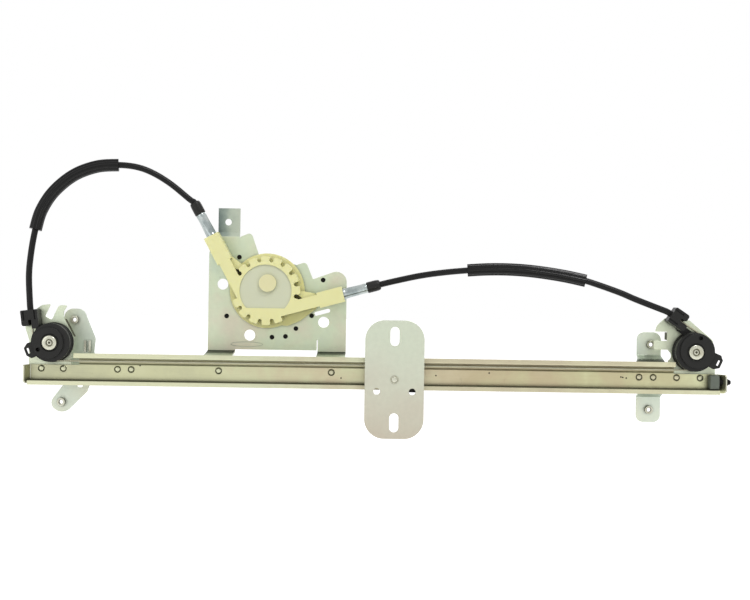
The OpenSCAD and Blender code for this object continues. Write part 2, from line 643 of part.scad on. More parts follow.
// Cable drum: grooves for the windings, a front bearing on the housing's
// spigot and a keyed drive bore for the motor shaft
drum_back = -plate_t - gap;
drum_front = housing_front + wall_t + gap;
drum_groove_n = 5;
drum_pitch = 2.2;
module cable_drum() {
  rim = drum_r + 1.9;
  half = drum_groove_n * drum_pitch / 2;
  color([0.88, 0.86, 0.7]) difference() {
    translate([0, arm_y, 0]) rotate([90, 0, 0]) rotate_extrude() polygon(concat(
      [[0, arm_y - drum_back], [rim, arm_y - drum_back], [rim, -half]],
      [for (k = [0:drum_groove_n - 1]) let (c = -half + (k + 0.5) * drum_pitch)
        each [[drum_r, c - 1], [drum_r - 1, c - 0.5], [drum_r - 1, c + 0.5], [drum_r, c + 1]]],
      [[rim, half], [rim, arm_y - drum_front], [0, arm_y - drum_front]]));
    pin_y(0, 0, housing_front + spigot_len + 0.9, 8, spigot_r + fit);
    pin_y(0, 0, drum_back + 1, 10, drive_r);
    for (a = [0, 120, 240]) rotate([0, a, 0])
      translate([0, drum_back - 9, -1]) cube([drive_r + 1.4, 10, 2]);
    difference() {
      pin_y(0, 0, drum_back + 1, 5, drum_r - 3.2);
      pin_y(0, 0, drum_back + 1, 5, drive_r + 3.6);
    }
  }
}
module drum_windings() {
  color([0.5, 0.5, 0.48]) for (k = [0:drum_groove_n - 1])
    translate([0, arm_y - (k + 0.5 - drum_groove_n / 2) * drum_pitch, 0])
      rotate([90, 0, 0]) rotate_extrude() translate([drum_r, 0]) circle(r = cable_r);
}
module drum_cable_tails() {
  color([0.5, 0.5, 0.48]) for (i = [0, 1]) at_arm(i) rod(10, arm_len + 7.2, cable_r);
}

// Slack take-up: a coil spring in each arm behind the sliding ferrule
wire_r = 0.6;
spring_turns = 7;
module tension_spring(i) {
  coil_r = spring_room - wire_r - gap;
  first = spring_from + wire_r + gap;
  last = arm_len - ferrule_in - wire_r - gap;
  steps = 12;
  color([0.62, 0.62, 0.6]) at_arm(i) tube([for (k = [0:spring_turns * steps])
    [first + (last - first) * k / (spring_turns * steps),
     coil_r * cos(360 * k / steps), coil_r * sin(360 * k / steps)]], wire_r, 6, [1, 0, 0]);
}
ferrule_out = 20;
cap_len = 11;
module ferrule(i) {
  color([0.78, 0.8, 0.8]) at_arm(i) difference() {
    union() {
      rod(arm_len - ferrule_in, arm_len + 1, spring_room - 0.1);
      rod(arm_len - ferrule_in, arm_len + ferrule_out, ferrule_r);
      for (k = [0:3]) rod(arm_len + 3 + 4.2 * k, arm_len + 5 + 4.2 * k, ferrule_r + 0.35);
    }
    rod(arm_len - ferrule_in - 1, arm_len + 8, cable_r + gap);
    rod(arm_len + 7, arm_len + ferrule_out + 1, conduit_d / 2 + fit);
  }
}
module ferrule_cap(i) {
  color([0.12, 0.12, 0.12]) at_arm(i) difference() {
    translate([arm_len + ferrule_out, 0, 0]) rotate([0, 90, 0]) rotate_extrude()
      polygon([[0, 0], [4.5, 0], [4.5, 7], [3.3, cap_len], [0, cap_len]]);
    rod(arm_len + ferrule_out - 1, arm_len + ferrule_out + cap_len + 1, conduit_d / 2 + fit);
  }
}

// Bowden conduits and their sleeves; each leaves its cap and its holder straight
lead = 3;
function on_arm(i, t) = let (p = arm_start(i) + polar(t, arm_dirs[i])) [p[0], arm_y, p[1]];
function on_entry(i, t) = let (p = tangent(sides[i]) + polar(t, entry_dirs[i])) [p[0], cable_y, p[1]];
function route(i) = concat([on_arm(i, arm_len + 7.5)],
  smooth(concat([on_arm(i, arm_len + ferrule_out + cap_len + lead)],
    i == 0 ? left_route : right_route, [on_entry(i, holder_at[i] + holder_len + lead)]), 2),
  [on_entry(i, holder_at[i] + holder_len - socket_depth + 0.2)]);
module conduit(i) color([0.16, 0.16, 0.17]) tube(route(i), conduit_d / 2, 10);
module sleeve(i) {
  span = i == 0 ? left_sleeve_span : right_sleeve_span;
  points = i == 0 ? left_route : right_route;
  color([0.1, 0.1, 0.1]) difference() {
    tube(smooth([for (k = [span[0]:span[1]]) points[k]], 2), sleeve_d / 2, 12);
    tube(route(i), conduit_d / 2 + gap, 10);
  }
}

// Cable along the rail, from one conduit holder round both pulleys to the other
module bend_y(x, from, to) translate([x, cable_y, pulley_z]) rotate([90, 0, 0])
  rotate([0, 0, from]) rotate_extrude(angle = to - from) translate([pulley_r, 0]) circle(r = cable_r);
module rail_cable() {
  color([0.55, 0.55, 0.52]) {
    translate([0, cable_y, cable_z]) rod(-pulley_left, pulley_right, cable_r);
    bend_y(-pulley_left, entry_dirs[0] + 90, 270);
    bend_y(pulley_right, -90, entry_dirs[1] - 90);
    for (i = [0, 1]) at_entry(i) rod(0, holder_at[i] + holder_len - socket_depth, cable_r);
  }
}

// Rubber buffer pulled through the right end flange
buffer_len = 7.4;
buffer_d = 9.8;
nub_r = 3;
nub_len = 4;
module end_buffer() {
  back = rail_right - flange_lean[1] - 0.9;
  out = rail_right + 0.3;
  color([0.22, 0.23, 0.22]) {
    along_x(back - buffer_len, buffer_len) translate([buffer_y, buffer_z])
      rounded_plate(buffer_d, buffer_high - buffer_low, 3);
    translate([0, buffer_y, buffer_z]) rod(back - 1, out + 1, neck_r);
    translate([out, buffer_y, buffer_z]) rotate([0, 90, 0]) rotate_extrude()
      polygon([[0, 0], [nub_r, 0], [nub_r, 0.8], [nub_r / 2, nub_len], [0, nub_len]]);
  }
}

// Carrier: a plate for the glass clamp, riveted to the shoe that slides in the rail
shoe_front = lip_front - 0.4 - 2.4;
nose = 22.4;
stud_r = 3.2;
hook_t = 2.4;
module carrier_plate() {
  color([0.8, 0.82, 0.74]) difference() {
    flat(carrier_back, carrier_t) translate([carrier_x, carrier_z]) difference() {
      rounded_plate(carrier_w, carrier_h, carrier_corner);
      for (s = [-1, 1]) translate([0, s * slot_pitch / 2]) rotate(90) slot(slot_len, slot_w);
      translate([-13.8, -9.4]) circle(r = 2.65);
      translate([14.1, -9.4]) circle(r = 2.65);
    }
    pin_y(carrier_x, carrier_z, carrier_back + 1, carrier_t + 2, stud_r);
  }
}
module hook(x0, x1, s) {
  lip = s > 0 ? rail_top : rail_bottom;
  reach = lip_w - 0.7;
  translate([carrier_x + x0, 0, lip]) mirror([0, 0, s > 0 ? 0 : 1]) {
    translate([0, shoe_front, gap]) cube([x1 - x0, lip_front + rail_t + gap + hook_t - shoe_front, 1.2]);
    translate([0, lip_front + rail_t + gap, -reach]) cube([x1 - x0, hook_t, reach + gap + 1.2]);
  }
}
module carrier_shoe() {
  color([0.12, 0.12, 0.12]) difference() {
    union() {
      translate([carrier_x - 20, shoe_front, wall_bottom + rail_t + gap])
        cube([20 + nose, web_front - gap - rivet_head_t - shoe_front,
          web_top - wall_bottom - 2 * rail_t - gap]);
      translate([carrier_x - 16, shoe_front, web_top - 2])
        cube([15, cable_y + 2.2 - shoe_front, cable_z + 1 - web_top + 2]);
      translate([carrier_x - 9, shoe_front, rail_bottom - gap - 1.2])
        cube([29, 2.4, rail_z - rail_bottom]);
      translate([carrier_x - 20, shoe_front, rail_z])
        cube([13, 2.4, rail_top + gap + 1.2 - rail_z]);
      translate([carrier_x - 10, carrier_back, carrier_z - 5.5])
        cube([20, shoe_front - carrier_back, 11]);
      hook(-20, -7, 1);
      hook(-9, 20, -1);
    }
    translate([carrier_x, cable_y, cable_z]) rod(-30, 30, cable_r + gap);
    for (x = [-16.5, -7]) translate([carrier_x, cable_y, cable_z]) rod(x, x + 6.5, 1.5 + fit);
    pin_y(carrier_x, carrier_z, 0, 80, stud_r);
  }
}
module carrier_rivet() {
  color([0.77, 0.78, 0.7]) {
    pin_y(carrier_x, carrier_z, web_front - gap - rivet_head_t,
      web_front - gap - rivet_head_t - carrier_back + carrier_t, stud_r);
    pin_y(carrier_x, carrier_z, carrier_back - carrier_t, 0.9, stud_r + 0.1);
  }
}
module cable_nipples() {
  color([0.6, 0.6, 0.56]) for (x = [-16, -7]) translate([carrier_x, cable_y, cable_z]) difference() {
    rod(x, x + 6, 1.5);
    rod(x - 1, x + 7, cable_r + gap);
  }
}

guide_rail();
rail_upper_lip();
rail_lower_lip();
rail_end_flanges();
rail_rivets();
left_pulley_bracket();
right_pulley_bracket();
left_mount_bracket();
right_mount_bracket();
pulley_base(0);  // left_pulley_base
pulley_base(1);  // right_pulley_base
pulley_cover(0);  // left_pulley_cover
pulley_cover(1);  // right_pulley_cover
pulley_wheel(0);  // left_pulley_wheel
pulley_wheel(1);  // right_pulley_wheel
pulley_axle(0);  // left_pulley_axle
pulley_axle(1);  // right_pulley_axle
motor_plate();
plate_plugs();
drum_housing();
housing_screws();
cable_drum();
drum_windings();
drum_cable_tails();
tension_spring(0);  // left_tension_spring
tension_spring(1);  // right_tension_spring
ferrule(0);  // left_ferrule
ferrule(1);  // right_ferrule
ferrule_cap(0);  // left_ferrule_cap
ferrule_cap(1);  // right_ferrule_cap
conduit(0);  // left_conduit
conduit(1);  // right_conduit
sleeve(0);  // left_sleeve
sleeve(1);  // right_sleeve
rail_cable();
end_buffer();
carrier_plate();
carrier_shoe();
carrier_rivet();
cable_nipples();
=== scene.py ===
import json
import math

import bmesh
import bpy
from mathutils import Matrix, Vector

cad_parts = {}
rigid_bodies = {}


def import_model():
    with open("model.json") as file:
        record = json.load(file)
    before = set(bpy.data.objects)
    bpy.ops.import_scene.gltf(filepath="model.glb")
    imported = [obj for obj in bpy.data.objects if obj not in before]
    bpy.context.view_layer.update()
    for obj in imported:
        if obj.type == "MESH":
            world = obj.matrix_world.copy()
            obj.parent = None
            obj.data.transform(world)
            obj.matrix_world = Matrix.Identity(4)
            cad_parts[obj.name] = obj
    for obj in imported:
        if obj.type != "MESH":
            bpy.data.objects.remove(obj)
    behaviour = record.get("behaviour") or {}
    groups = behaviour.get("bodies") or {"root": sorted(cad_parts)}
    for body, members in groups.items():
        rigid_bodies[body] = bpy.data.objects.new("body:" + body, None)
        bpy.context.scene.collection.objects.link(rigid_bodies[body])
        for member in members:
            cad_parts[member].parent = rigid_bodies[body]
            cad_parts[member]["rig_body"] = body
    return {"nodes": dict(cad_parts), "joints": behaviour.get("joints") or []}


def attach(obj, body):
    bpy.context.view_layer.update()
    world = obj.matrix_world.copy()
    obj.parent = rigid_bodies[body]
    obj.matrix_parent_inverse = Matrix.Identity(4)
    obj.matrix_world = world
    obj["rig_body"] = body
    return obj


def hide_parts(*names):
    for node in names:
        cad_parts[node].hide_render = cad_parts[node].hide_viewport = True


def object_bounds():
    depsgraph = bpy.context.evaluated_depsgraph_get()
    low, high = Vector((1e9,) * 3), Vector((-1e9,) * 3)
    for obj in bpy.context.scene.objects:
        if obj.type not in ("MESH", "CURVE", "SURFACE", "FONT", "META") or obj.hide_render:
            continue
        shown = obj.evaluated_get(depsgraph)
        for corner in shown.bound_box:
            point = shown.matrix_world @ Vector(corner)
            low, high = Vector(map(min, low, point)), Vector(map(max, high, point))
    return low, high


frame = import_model()
cadLow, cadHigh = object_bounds()
scene = bpy.context.scene
mm = 0.001


# Small helpers: colours, nodes and meshes

def linear(code):                       # sRGB hex to linear colour
    parts = [int(code[i:i + 2], 16) / 255 for i in (1, 3, 5)]
    return [p / 12.92 if p <= 0.04045 else ((p + 0.055) / 1.055) ** 2.4 for p in parts] + [1.0]


def addNode(tree, kind, settings=None, inputs=None):
    node = tree.nodes.new(kind)
    for name, value in (settings or {}).items():
        setattr(node, name, value)
    for name, value in (inputs or {}).items():
        if isinstance(value, bpy.types.NodeSocket):
            tree.links.new(value, node.inputs[name])
        else:
            node.inputs[name].default_value = value
    return node


def linkObject(name, mesh):
    piece = bpy.data.objects.new(name, mesh)
    scene.collection.objects.link(piece)
    return piece


def plainMesh(piece):                   # the piece's mesh with its modifiers worked in
    mesh = bpy.data.meshes.new_from_object(piece.evaluated_get(bpy.context.evaluated_depsgraph_get()))
    piece.modifiers.clear()
    piece.data = mesh
    return piece


def smoothShaded(mesh, angle):          # smooth faces, creased where the surface turns by more than this
    mesh.polygons.foreach_set("use_smooth", [True] * len(mesh.polygons))
    mesh.set_sharp_from_angle(angle=math.radians(angle))


def apart(middle, x, z):                # distance of a face's middle from an axis that runs front to back
    return math.hypot(middle.x - x, middle.z - z)


def partOf(piece, node):                # the piece moves with this CAD node
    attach(piece, frame["nodes"][node]["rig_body"])


def standsFor(piece, *nodes):           # the same for one or more nodes, which the piece hides
    partOf(piece, nodes[0])
    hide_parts(*nodes)
    return piece


# Camera: straight at the front from a little over a metre, the part a touch clockwise in the picture

cameraView = {
    "middle": (88.47 * mm, -30.7 * mm, -6.26 * mm),     # what the picture's middle shows, on the rail's web
    "distance": 1.05,
    "width": 0.6,                                       # what the picture takes in at that distance
    "roll": 0.86,                                       # degrees
    "sensor": 36,
    "clipping": (0.05, 20),
}


def makeCamera():
    data = bpy.data.cameras.new("camera")
    data.sensor_width = cameraView["sensor"]
    data.lens = cameraView["sensor"] * cameraView["distance"] / cameraView["width"]
    data.clip_start, data.clip_end = cameraView["clipping"]
    camera = bpy.data.objects.new("camera", data)
    scene.collection.objects.link(camera)
    roll = math.radians(cameraView["roll"])
    right = Vector((math.cos(roll), 0, math.sin(roll)))
    up = Vector((-math.sin(roll), 0, math.cos(roll)))
    turn = Matrix((right, up, (0, -1, 0))).transposed().to_4x4()
    x, y, z = cameraView["middle"]
    camera.matrix_world = Matrix.Translation((x, y - cameraView["distance"], z)) @ turn
    scene.camera = camera


makeCamera()
print("camera placed")


# Main places, in millimetres: the drum axis is the origin and the pulleys turn on their joints

joints = {joint["name"]: joint for joint in frame["joints"]}
pulleyAxes = [Vector(joints[name]["pos_m"]) / mm for name in ("left_pulley_spin", "right_pulley_spin")]
layout = {
    "drumRadius": 18.4,
    "pulleyRadius": 14.4,
    "armAngles": (118.6, 15.4),         # where the two arms point, in the XZ plane
    "entryAngles": (97, 146),           # where the cable leaves each pulley for its conduit
    "sides": (1, -1),                   # the side of each arm and entry on which the cable lies
    "armDepth": -12.5,
    "armLength": 60,
    "cableDepth": -35.8,
    "cableRadius": 0.8,
}


def inPlane(radius, angle, depth=0.0):  # a vector in the XZ plane
    return Vector((radius * math.cos(math.radians(angle)), depth, radius * math.sin(math.radians(angle))))


def onArm(side, along):                 # a point on the cable where it leaves the drum through an arm
    angle = layout["armAngles"][side]
    start = inPlane(layout["drumRadius"], angle + 90 * layout["sides"][side], layout["armDepth"])
    return start + inPlane(along, angle)


def onEntry(side, along):               # a point on the cable where it leaves a pulley for the conduit
    angle = layout["entryAngles"][side]
    axis = pulleyAxes[side]
    start = Vector((axis.x, layout["cableDepth"], axis.z))
    start += inPlane(layout["pulleyRadius"], angle + 90 * layout["sides"][side])
    return start + inPlane(along, angle)


def smoothPath(points, steps):          # a smooth curve through points, some steps between two of them
    path = []
    for i in range(len(points) - 1):
        a, b = points[max(i - 1, 0)], points[i]
        c, d = points[i + 1], points[min(i + 2, len(points) - 1)]
        for k in range(steps):
            t = k / steps
            path.append(0.5 * (2 * b + (c - a) * t + (2 * a - 5 * b + 4 * c - d) * t * t
                               + (3 * b - a - 3 * c + d) * t * t * t))
    return path + [points[-1]]


# Materials: metals, moulded plastics and drawn jackets, with the sizes of their patterns in millimetres

finishes = {}
corners = {                             # painted shade where surfaces close in on each other
    "samples": 6,
    "closed": 0.25,                     # share of open sky at which the tone is darkest
    "open": 0.85,
}


def newMaterial(name):
    material = bpy.data.materials.new(name)
    material.use_nodes = True
    material.node_tree.nodes.clear()
    finishes[name] = material
    return material.node_tree


def closeMaterial(tree, shader):
    addNode(tree, "ShaderNodeOutputMaterial", inputs={"Surface": shader.outputs[0]})


def perMm(size):                        # noise scale for features of this size in millimetres
    return 1 / (size * mm)


def paintedCreaseShade(tree, reach, darkest):   # painted shade: a factor for the colour, from 1 in the open down to the darkest
    closeness = addNode(tree, "ShaderNodeAmbientOcclusion", {"samples": corners["samples"]},
                        {"Distance": reach * mm})
    return addNode(tree, "ShaderNodeMapRange", inputs={
        "Value": closeness.outputs["AO"], "From Min": corners["closed"], "From Max": corners["open"],
        "To Min": darkest, "To Max": 1.0}).outputs[0]


sheetMetal = {
    "metallic": 0.9,
    "tintSpan": (0.36, 0.64),           # the stretch of the cloud noise that runs through all the tints
    "wander": 0.12,                     # how far the clouds shift the tints of a drift, as a share of it
    "streakSizes": (30, 0.9, 0.9),      # rolling marks along X
    "grainSizes": (3.5, 3.5, 3.5),
    "grainTones": (0.735, 0.83),        # what the dull film of the bath leaves of the written colour
    "spotSize": 7,
    "spotSpan": (0.66, 0.76),
    "cornerReach": 3,
    "glossSpread": (-0.08, 0.12),
    "reliefStrength": 0.1,
    "relief": 0.1,
}


def zincSteel(name, colours, roughness, stain, streaks=False, crease=0.5, cloudSize=70, drift=None):
    # A soft metal with cloudy tints, rolling marks or grain, small water spots and painted corner shade;
    # drift lays the tints along an axis, between two places in millimetres
    tree = newMaterial(name)
    place = addNode(tree, "ShaderNodeTexCoord").outputs["Object"]
    cloud = addNode(tree, "ShaderNodeTexNoise", inputs={
        "Vector": place, "Scale": perMm(cloudSize), "Detail": 4, "Roughness": 0.6}).outputs["Fac"]
    tintFrom, tintTo = sheetMetal["tintSpan"]
    share = addNode(tree, "ShaderNodeMapRange", inputs={
        "Value": cloud, "From Min": tintFrom, "From Max": tintTo}).outputs[0]
    if drift:
        axis, start, end = drift
        spot = addNode(tree, "ShaderNodeSeparateXYZ", inputs={0: place}).outputs[axis]
        along = addNode(tree, "ShaderNodeMapRange", inputs={
            "Value": spot, "From Min": start * mm, "From Max": end * mm})
        wander = addNode(tree, "ShaderNodeMapRange", inputs={
            "Value": share, "To Min": -sheetMetal["wander"], "To Max": sheetMetal["wander"]})
        share = addNode(tree, "ShaderNodeMath", {"operation": "ADD", "use_clamp": True},
                        {0: along.outputs[0], 1: wander.outputs[0]}).outputs[0]
    tint = addNode(tree, "ShaderNodeValToRGB", inputs={"Fac": share})
    ramp = tint.color_ramp
    ramp.elements[0].color = linear(colours[0])
    ramp.elements[1].color = linear(colours[-1])
    for i in range(1, len(colours) - 1):
        ramp.elements.new(i / (len(colours) - 1)).color = linear(colours[i])
    sizes = sheetMetal["streakSizes" if streaks else "grainSizes"]
    stretched = addNode(tree, "ShaderNodeMapping", inputs={
        "Vector": place, "Scale": [perMm(size) for size in sizes]}).outputs["Vector"]
    grain = addNode(tree, "ShaderNodeTexNoise", inputs={
        "Vector": stretched, "Scale": 1, "Detail": 4}).outputs["Fac"]
    darkGrain, lightGrain = sheetMetal["grainTones"]
    grainTone = addNode(tree, "ShaderNodeMapRange", inputs={
        "Value": grain, "To Min": darkGrain, "To Max": lightGrain})
    spots = addNode(tree, "ShaderNodeTexNoise", inputs={
        "Vector": place, "Scale": perMm(sheetMetal["spotSize"]), "Detail": 5, "Roughness": 0.62})
    spotFrom, spotTo = sheetMetal["spotSpan"]
    spotTone = addNode(tree, "ShaderNodeMapRange", inputs={
        "Value": spots.outputs["Fac"], "From Min": spotFrom, "From Max": spotTo,
        "To Min": 1, "To Max": 1 - stain})
    tone = addNode(tree, "ShaderNodeMath", {"operation": "MULTIPLY"},
                   {0: grainTone.outputs[0], 1: spotTone.outputs[0]})
    # grain and water spots, darkened in corners by painted shade
    stainAndPaintedShade = addNode(tree, "ShaderNodeMath", {"operation": "MULTIPLY"},
                   {0: tone.outputs[0], 1: paintedCreaseShade(tree, sheetMetal["cornerReach"], crease)})
    base = addNode(tree, "ShaderNodeVectorMath", {"operation": "SCALE"},
                   {0: tint.outputs["Color"], "Scale": stainAndPaintedShade.outputs[0]})
    glossier, duller = sheetMetal["glossSpread"]
    rough = addNode(tree, "ShaderNodeMapRange", inputs={
        "Value": cloud, "To Min": roughness + glossier, "To Max": roughness + duller})
    bump = addNode(tree, "ShaderNodeBump", inputs={
        "Height": grain, "Strength": sheetMetal["reliefStrength"], "Distance": sheetMetal["relief"] * mm})
    shader = addNode(tree, "ShaderNodeBsdfPrincipled", inputs={
        "Base Color": base.outputs[0], "Metallic": sheetMetal["metallic"], "Roughness": rough.outputs[0],
        "Normal": bump.outputs["Normal"]})
    closeMaterial(tree, shader)


moulding = {
    "flowSize": 22,
    "gritSize": 1.1,
    "glossSpread": 0.07,
    "reliefStrength": 0.25,
    "relief": 0.05,
    "index": 1.48,
    "glowDepth": 1.5,
    "glowReach": (1.0, 0.9, 0.5),       # how far red, green and blue light seep, as shares of the depth
}


def mouldedPlastic(name, colour, shade, roughness, specular=0.5, glow=0.0, crease=0.5, reach=4):
    # An even colour with faint flow clouds, the fine eroded texture of the mould and painted shade in
    # corners
    tree = newMaterial(name)
    place = addNode(tree, "ShaderNodeTexCoord").outputs["Object"]
    flow = addNode(tree, "ShaderNodeTexNoise", inputs={
        "Vector": place, "Scale": perMm(moulding["flowSize"]), "Detail": 3})
    tint = addNode(tree, "ShaderNodeMix", {"data_type": "RGBA"},
                   {0: flow.outputs["Fac"], 6: linear(colour), 7: linear(shade)})
    base = addNode(tree, "ShaderNodeVectorMath", {"operation": "SCALE"},
                   {0: tint.outputs[2], "Scale": paintedCreaseShade(tree, reach, crease)})
    grain = addNode(tree, "ShaderNodeTexNoise", inputs={
        "Vector": place, "Scale": perMm(moulding["gritSize"]), "Detail": 2}).outputs["Fac"]
    spread = moulding["glossSpread"]
    rough = addNode(tree, "ShaderNodeMapRange", inputs={
        "Value": grain, "To Min": roughness - spread, "To Max": roughness + spread})
    bump = addNode(tree, "ShaderNodeBump", inputs={
        "Height": grain, "Strength": moulding["reliefStrength"], "Distance": moulding["relief"] * mm})
    shader = addNode(tree, "ShaderNodeBsdfPrincipled", inputs={
        "Base Color": base.outputs[0], "Roughness": rough.outputs[0], "IOR": moulding["index"],
        "Specular IOR Level": specular, "Normal": bump.outputs["Normal"], "Subsurface Weight": glow,
        "Subsurface Scale": moulding["glowDepth"] * mm, "Subsurface Radius": moulding["glowReach"]})
    closeMaterial(tree, shader)


jacketing = {
    "scuffSize": 6,
    "scuffSpan": (0.15, 0.4),
    "glossSpread": 0.1,
    "reliefStrength": 0.3,
    "relief": 0.08,
}


def drawnJacket(name, colour, shade, roughness, specular, ringSize):
    # Faint rings along its length, from the attribute "along" in metres, scuffs and a soft sheen
    tree = newMaterial(name)
    along = addNode(tree, "ShaderNodeAttribute", {"attribute_name": "along"}).outputs["Fac"]
    place = addNode(tree, "ShaderNodeTexCoord").outputs["Object"]
    rings = addNode(tree, "ShaderNodeTexNoise", {"noise_dimensions": "1D"},
                    {"W": along, "Scale": perMm(ringSize), "Detail": 3}).outputs["Fac"]
    scuffs = addNode(tree, "ShaderNodeTexNoise", inputs={
        "Vector": place, "Scale": perMm(jacketing["scuffSize"]), "Detail": 4}).outputs["Fac"]
    both = addNode(tree, "ShaderNodeMath", {"operation": "MULTIPLY"}, {0: rings, 1: scuffs})
    scuffFrom, scuffTo = jacketing["scuffSpan"]
    tint = addNode(tree, "ShaderNodeMapRange", inputs={
        "Value": both.outputs[0], "From Min": scuffFrom, "From Max": scuffTo})
    base = addNode(tree, "ShaderNodeMix", {"data_type": "RGBA"},
                   {0: tint.outputs[0], 6: linear(colour), 7: linear(shade)})
    spread = jacketing["glossSpread"]
    rough = addNode(tree, "ShaderNodeMapRange", inputs={
        "Value": scuffs, "To Min": roughness - spread, "To Max": roughness + spread})
    bump = addNode(tree, "ShaderNodeBump", inputs={
        "Height": rings, "Strength": jacketing["reliefStrength"], "Distance": jacketing["relief"] * mm})
    shader = addNode(tree, "ShaderNodeBsdfPrincipled", inputs={
        "Base Color": base.outputs[2], "Roughness": rough.outputs[0], "Specular IOR Level": specular,
        "Normal": bump.outputs["Normal"]})
    closeMaterial(tree, shader)


railEnds = ("X", -185, 365)             # the rail's tints drift from its left end to its right end

# Rolled steel strip, zinc plated and yellow passivated: straw at the left, rosy past the middle, then pale
zincSteel("zincYellowSteel", ("#C5C5A4", "#D5D5AD", "#DADAB3", "#D6CAA9", "#CEC09D", "#D4D0A6", "#E6E7BB"),
          0.36, 0.2, streaks=True, crease=0.35, cloudSize=40, drift=railEnds)
# The same, paler as a painted highlight, on the rail's lips, which stand in the open and catch more light
zincSteel("zincPaintedHighlightSteel", ("#DFE0BE", "#DEDFBC", "#D8DBBA", "#D0C9AB", "#CDC4A7", "#D6D1B0", "#E2E2C0"),
          0.36, 0.12, streaks=True, crease=0.35, cloudSize=40, drift=railEnds)
# The same on the step between web and lip, darker as the painted shadow of lip and cable: a thin band
zincSteel("zincStripShadowSteel", ("#C8C5A2", "#CCC8A2", "#BEB293", "#C1BA93"),
          0.4, 0.2, streaks=True, crease=0.35, cloudSize=40, drift=railEnds)
# Painted shade in folds, grooves, dimples and gaps: a dark olive line
zincSteel("zincPaintedShadeSteel", ("#4E4F3C", "#5A5A45", "#545340"), 0.5, 0.2, streaks=True, cloudSize=30)
# Pressed steel sheet, clear passivated: pale green with warm clouds
zincSteel("zincClearSteel", ("#D4E2CC", "#DBE5C9", "#DFDBC5"), 0.44, 0.16, crease=0.4)
# The sheet's top tab, which leans out of the light: grey at its left edge, paler to the right
zincSteel("zincShadedSteel", ("#77857F", "#98A59A", "#B9C3B2", "#C4CCBA"),
          0.4, 0.1, crease=0.4, cloudSize=9, drift=("X", -42, -24))
# Painted shade where the feet are bent: a dark speckled band by the plate, pale towards the rail
zincSteel("zincBendShadeSteel", ("#D0D7BF", "#C2CAB0", "#596051", "#434A3C"),
          0.55, 0.6, crease=0.4, cloudSize=1.5, drift=("Y", -26, -6))
# Painted shade on the stepped bracket at the right as well: a dark band by the rail
zincSteel("zincStepShadeSteel", ("#CDD6C6", "#BCC6B6", "#C3CDBB", "#5C6456", "#3C4238"),
          0.5, 0.6, crease=0.6, cloudSize=1.5, drift=("Y", -14, -27.5))
# Clear passivated brackets, each from its own load of the bath: yellow green, green and blue grey
zincSteel("zincBracketSteel", ("#D6E2CC", "#E0E9CF", "#E7E9CF"), 0.44, 0.12, crease=0.4)
zincSteel("zincGreenSteel", ("#D9E5D9", "#E3ECDC", "#EAEEDA"), 0.44, 0.12, crease=0.4)
zincSteel("zincBlueSteel", ("#D3DDCF", "#DAE2D2", "#E0E2CE"), 0.46, 0.12, crease=0.45)
# The carrier's thick plate, tumbled and plated: satin, rosy grey at its foot and green grey above
zincSteel("zincPaleSteel", ("#CCC4B2", "#D2CFBD", "#D6DAC7", "#D7DECA"),
          0.5, 0.06, cloudSize=45, drift=("Z", -115, -25))
# Turned and nickel plated steel: bright and slightly warm; also painted on sheet edges and collars as a
# highlight
zincSteel("nickelSteel", ("#D0D0BC", "#DADAC8", "#CCCAB4"), 0.24, 0.08, crease=0.4, cloudSize=12)
# Drawn aluminium, crimped: cool grey with short bright patches
zincSteel("ferruleAluminium", ("#9AA5A5", "#B4BEBD", "#CAD1CF"), 0.2, 0.05, crease=0.4, cloudSize=9)
# Oiled spring wire and bare turned steel: darker, with a clear gloss
zincSteel("springSteel", ("#A09F90", "#B4B2A0", "#A8A48E"), 0.3, 0.1, crease=0.3, cloudSize=20)
# Galvanised strands under a film of grease: pale and satin
zincSteel("cableSteel", ("#C2C0A6", "#CCCAB0", "#BDBAA0"), 0.4, 0.1, cloudSize=20)
# Natural acetal, injection moulded: cream, and light seeps a little way through it
mouldedPlastic("acetalCream", "#E1DFA6", "#DCD99D", 0.42, glow=0.25, crease=0.65)
# The same where the wall is thin and the dark drum behind it greys the cream
mouldedPlastic("acetalThinWall", "#CACDB3", "#C5C8AC", 0.4, glow=0.15, crease=0.7)
# The same on the boss, which is thick enough to look cream again
mouldedPlastic("acetalBoss", "#DBD7A9", "#D6D1A2", 0.4, glow=0.15, crease=0.6)
# The drum's acetal, polished by the cable
mouldedPlastic("acetalDrum", "#DBD7A9", "#D3CD9C", 0.4, glow=0.1)
# Black polyamide, moulded in an eroded tool: charcoal with a low sheen
mouldedPlastic("polyamideBlack", "#1E1E1C", "#181816", 0.42, specular=0.26)
# Moulded rubber, bloomed to a dull grey on its face, with painted shade turning it black in its hollow
mouldedPlastic("bufferRubber", "#666C62", "#596057", 0.6, specular=0.3, crease=0.15, reach=6)
# Soft black plug material that hardly shines
mouldedPlastic("plugBlack", "#121211", "#0C0C0C", 0.6, specular=0.15)
# Extruded polyethylene over the conduit's wires: black with a soft sheen
drawnJacket("conduitJacket", "#121212", "#0D0D0D", 0.36, 0.2, 0.9)
# Extruded rubber of the sleeves: deep black with a clear gloss
drawnJacket("sleeveRubber", "#0A0A09", "#060606", 0.24, 0.24, 3.0)
print("materials made:", len(finishes))


# Dressed CAD nodes: merged copies with their sharp edges broken as pressing and moulding leave them

dressing = {                            # millimetres and degrees
    "seamGap": 0.001,
    "joinGap": 0.002,
    "flatAngle": 1,
    "shortestEdge": 0.02,
    "creaseAngle": 35,
    "bevelAngle": 30,
    "bevelSteps": 2,
    "flatFaceWeight": 100,
}


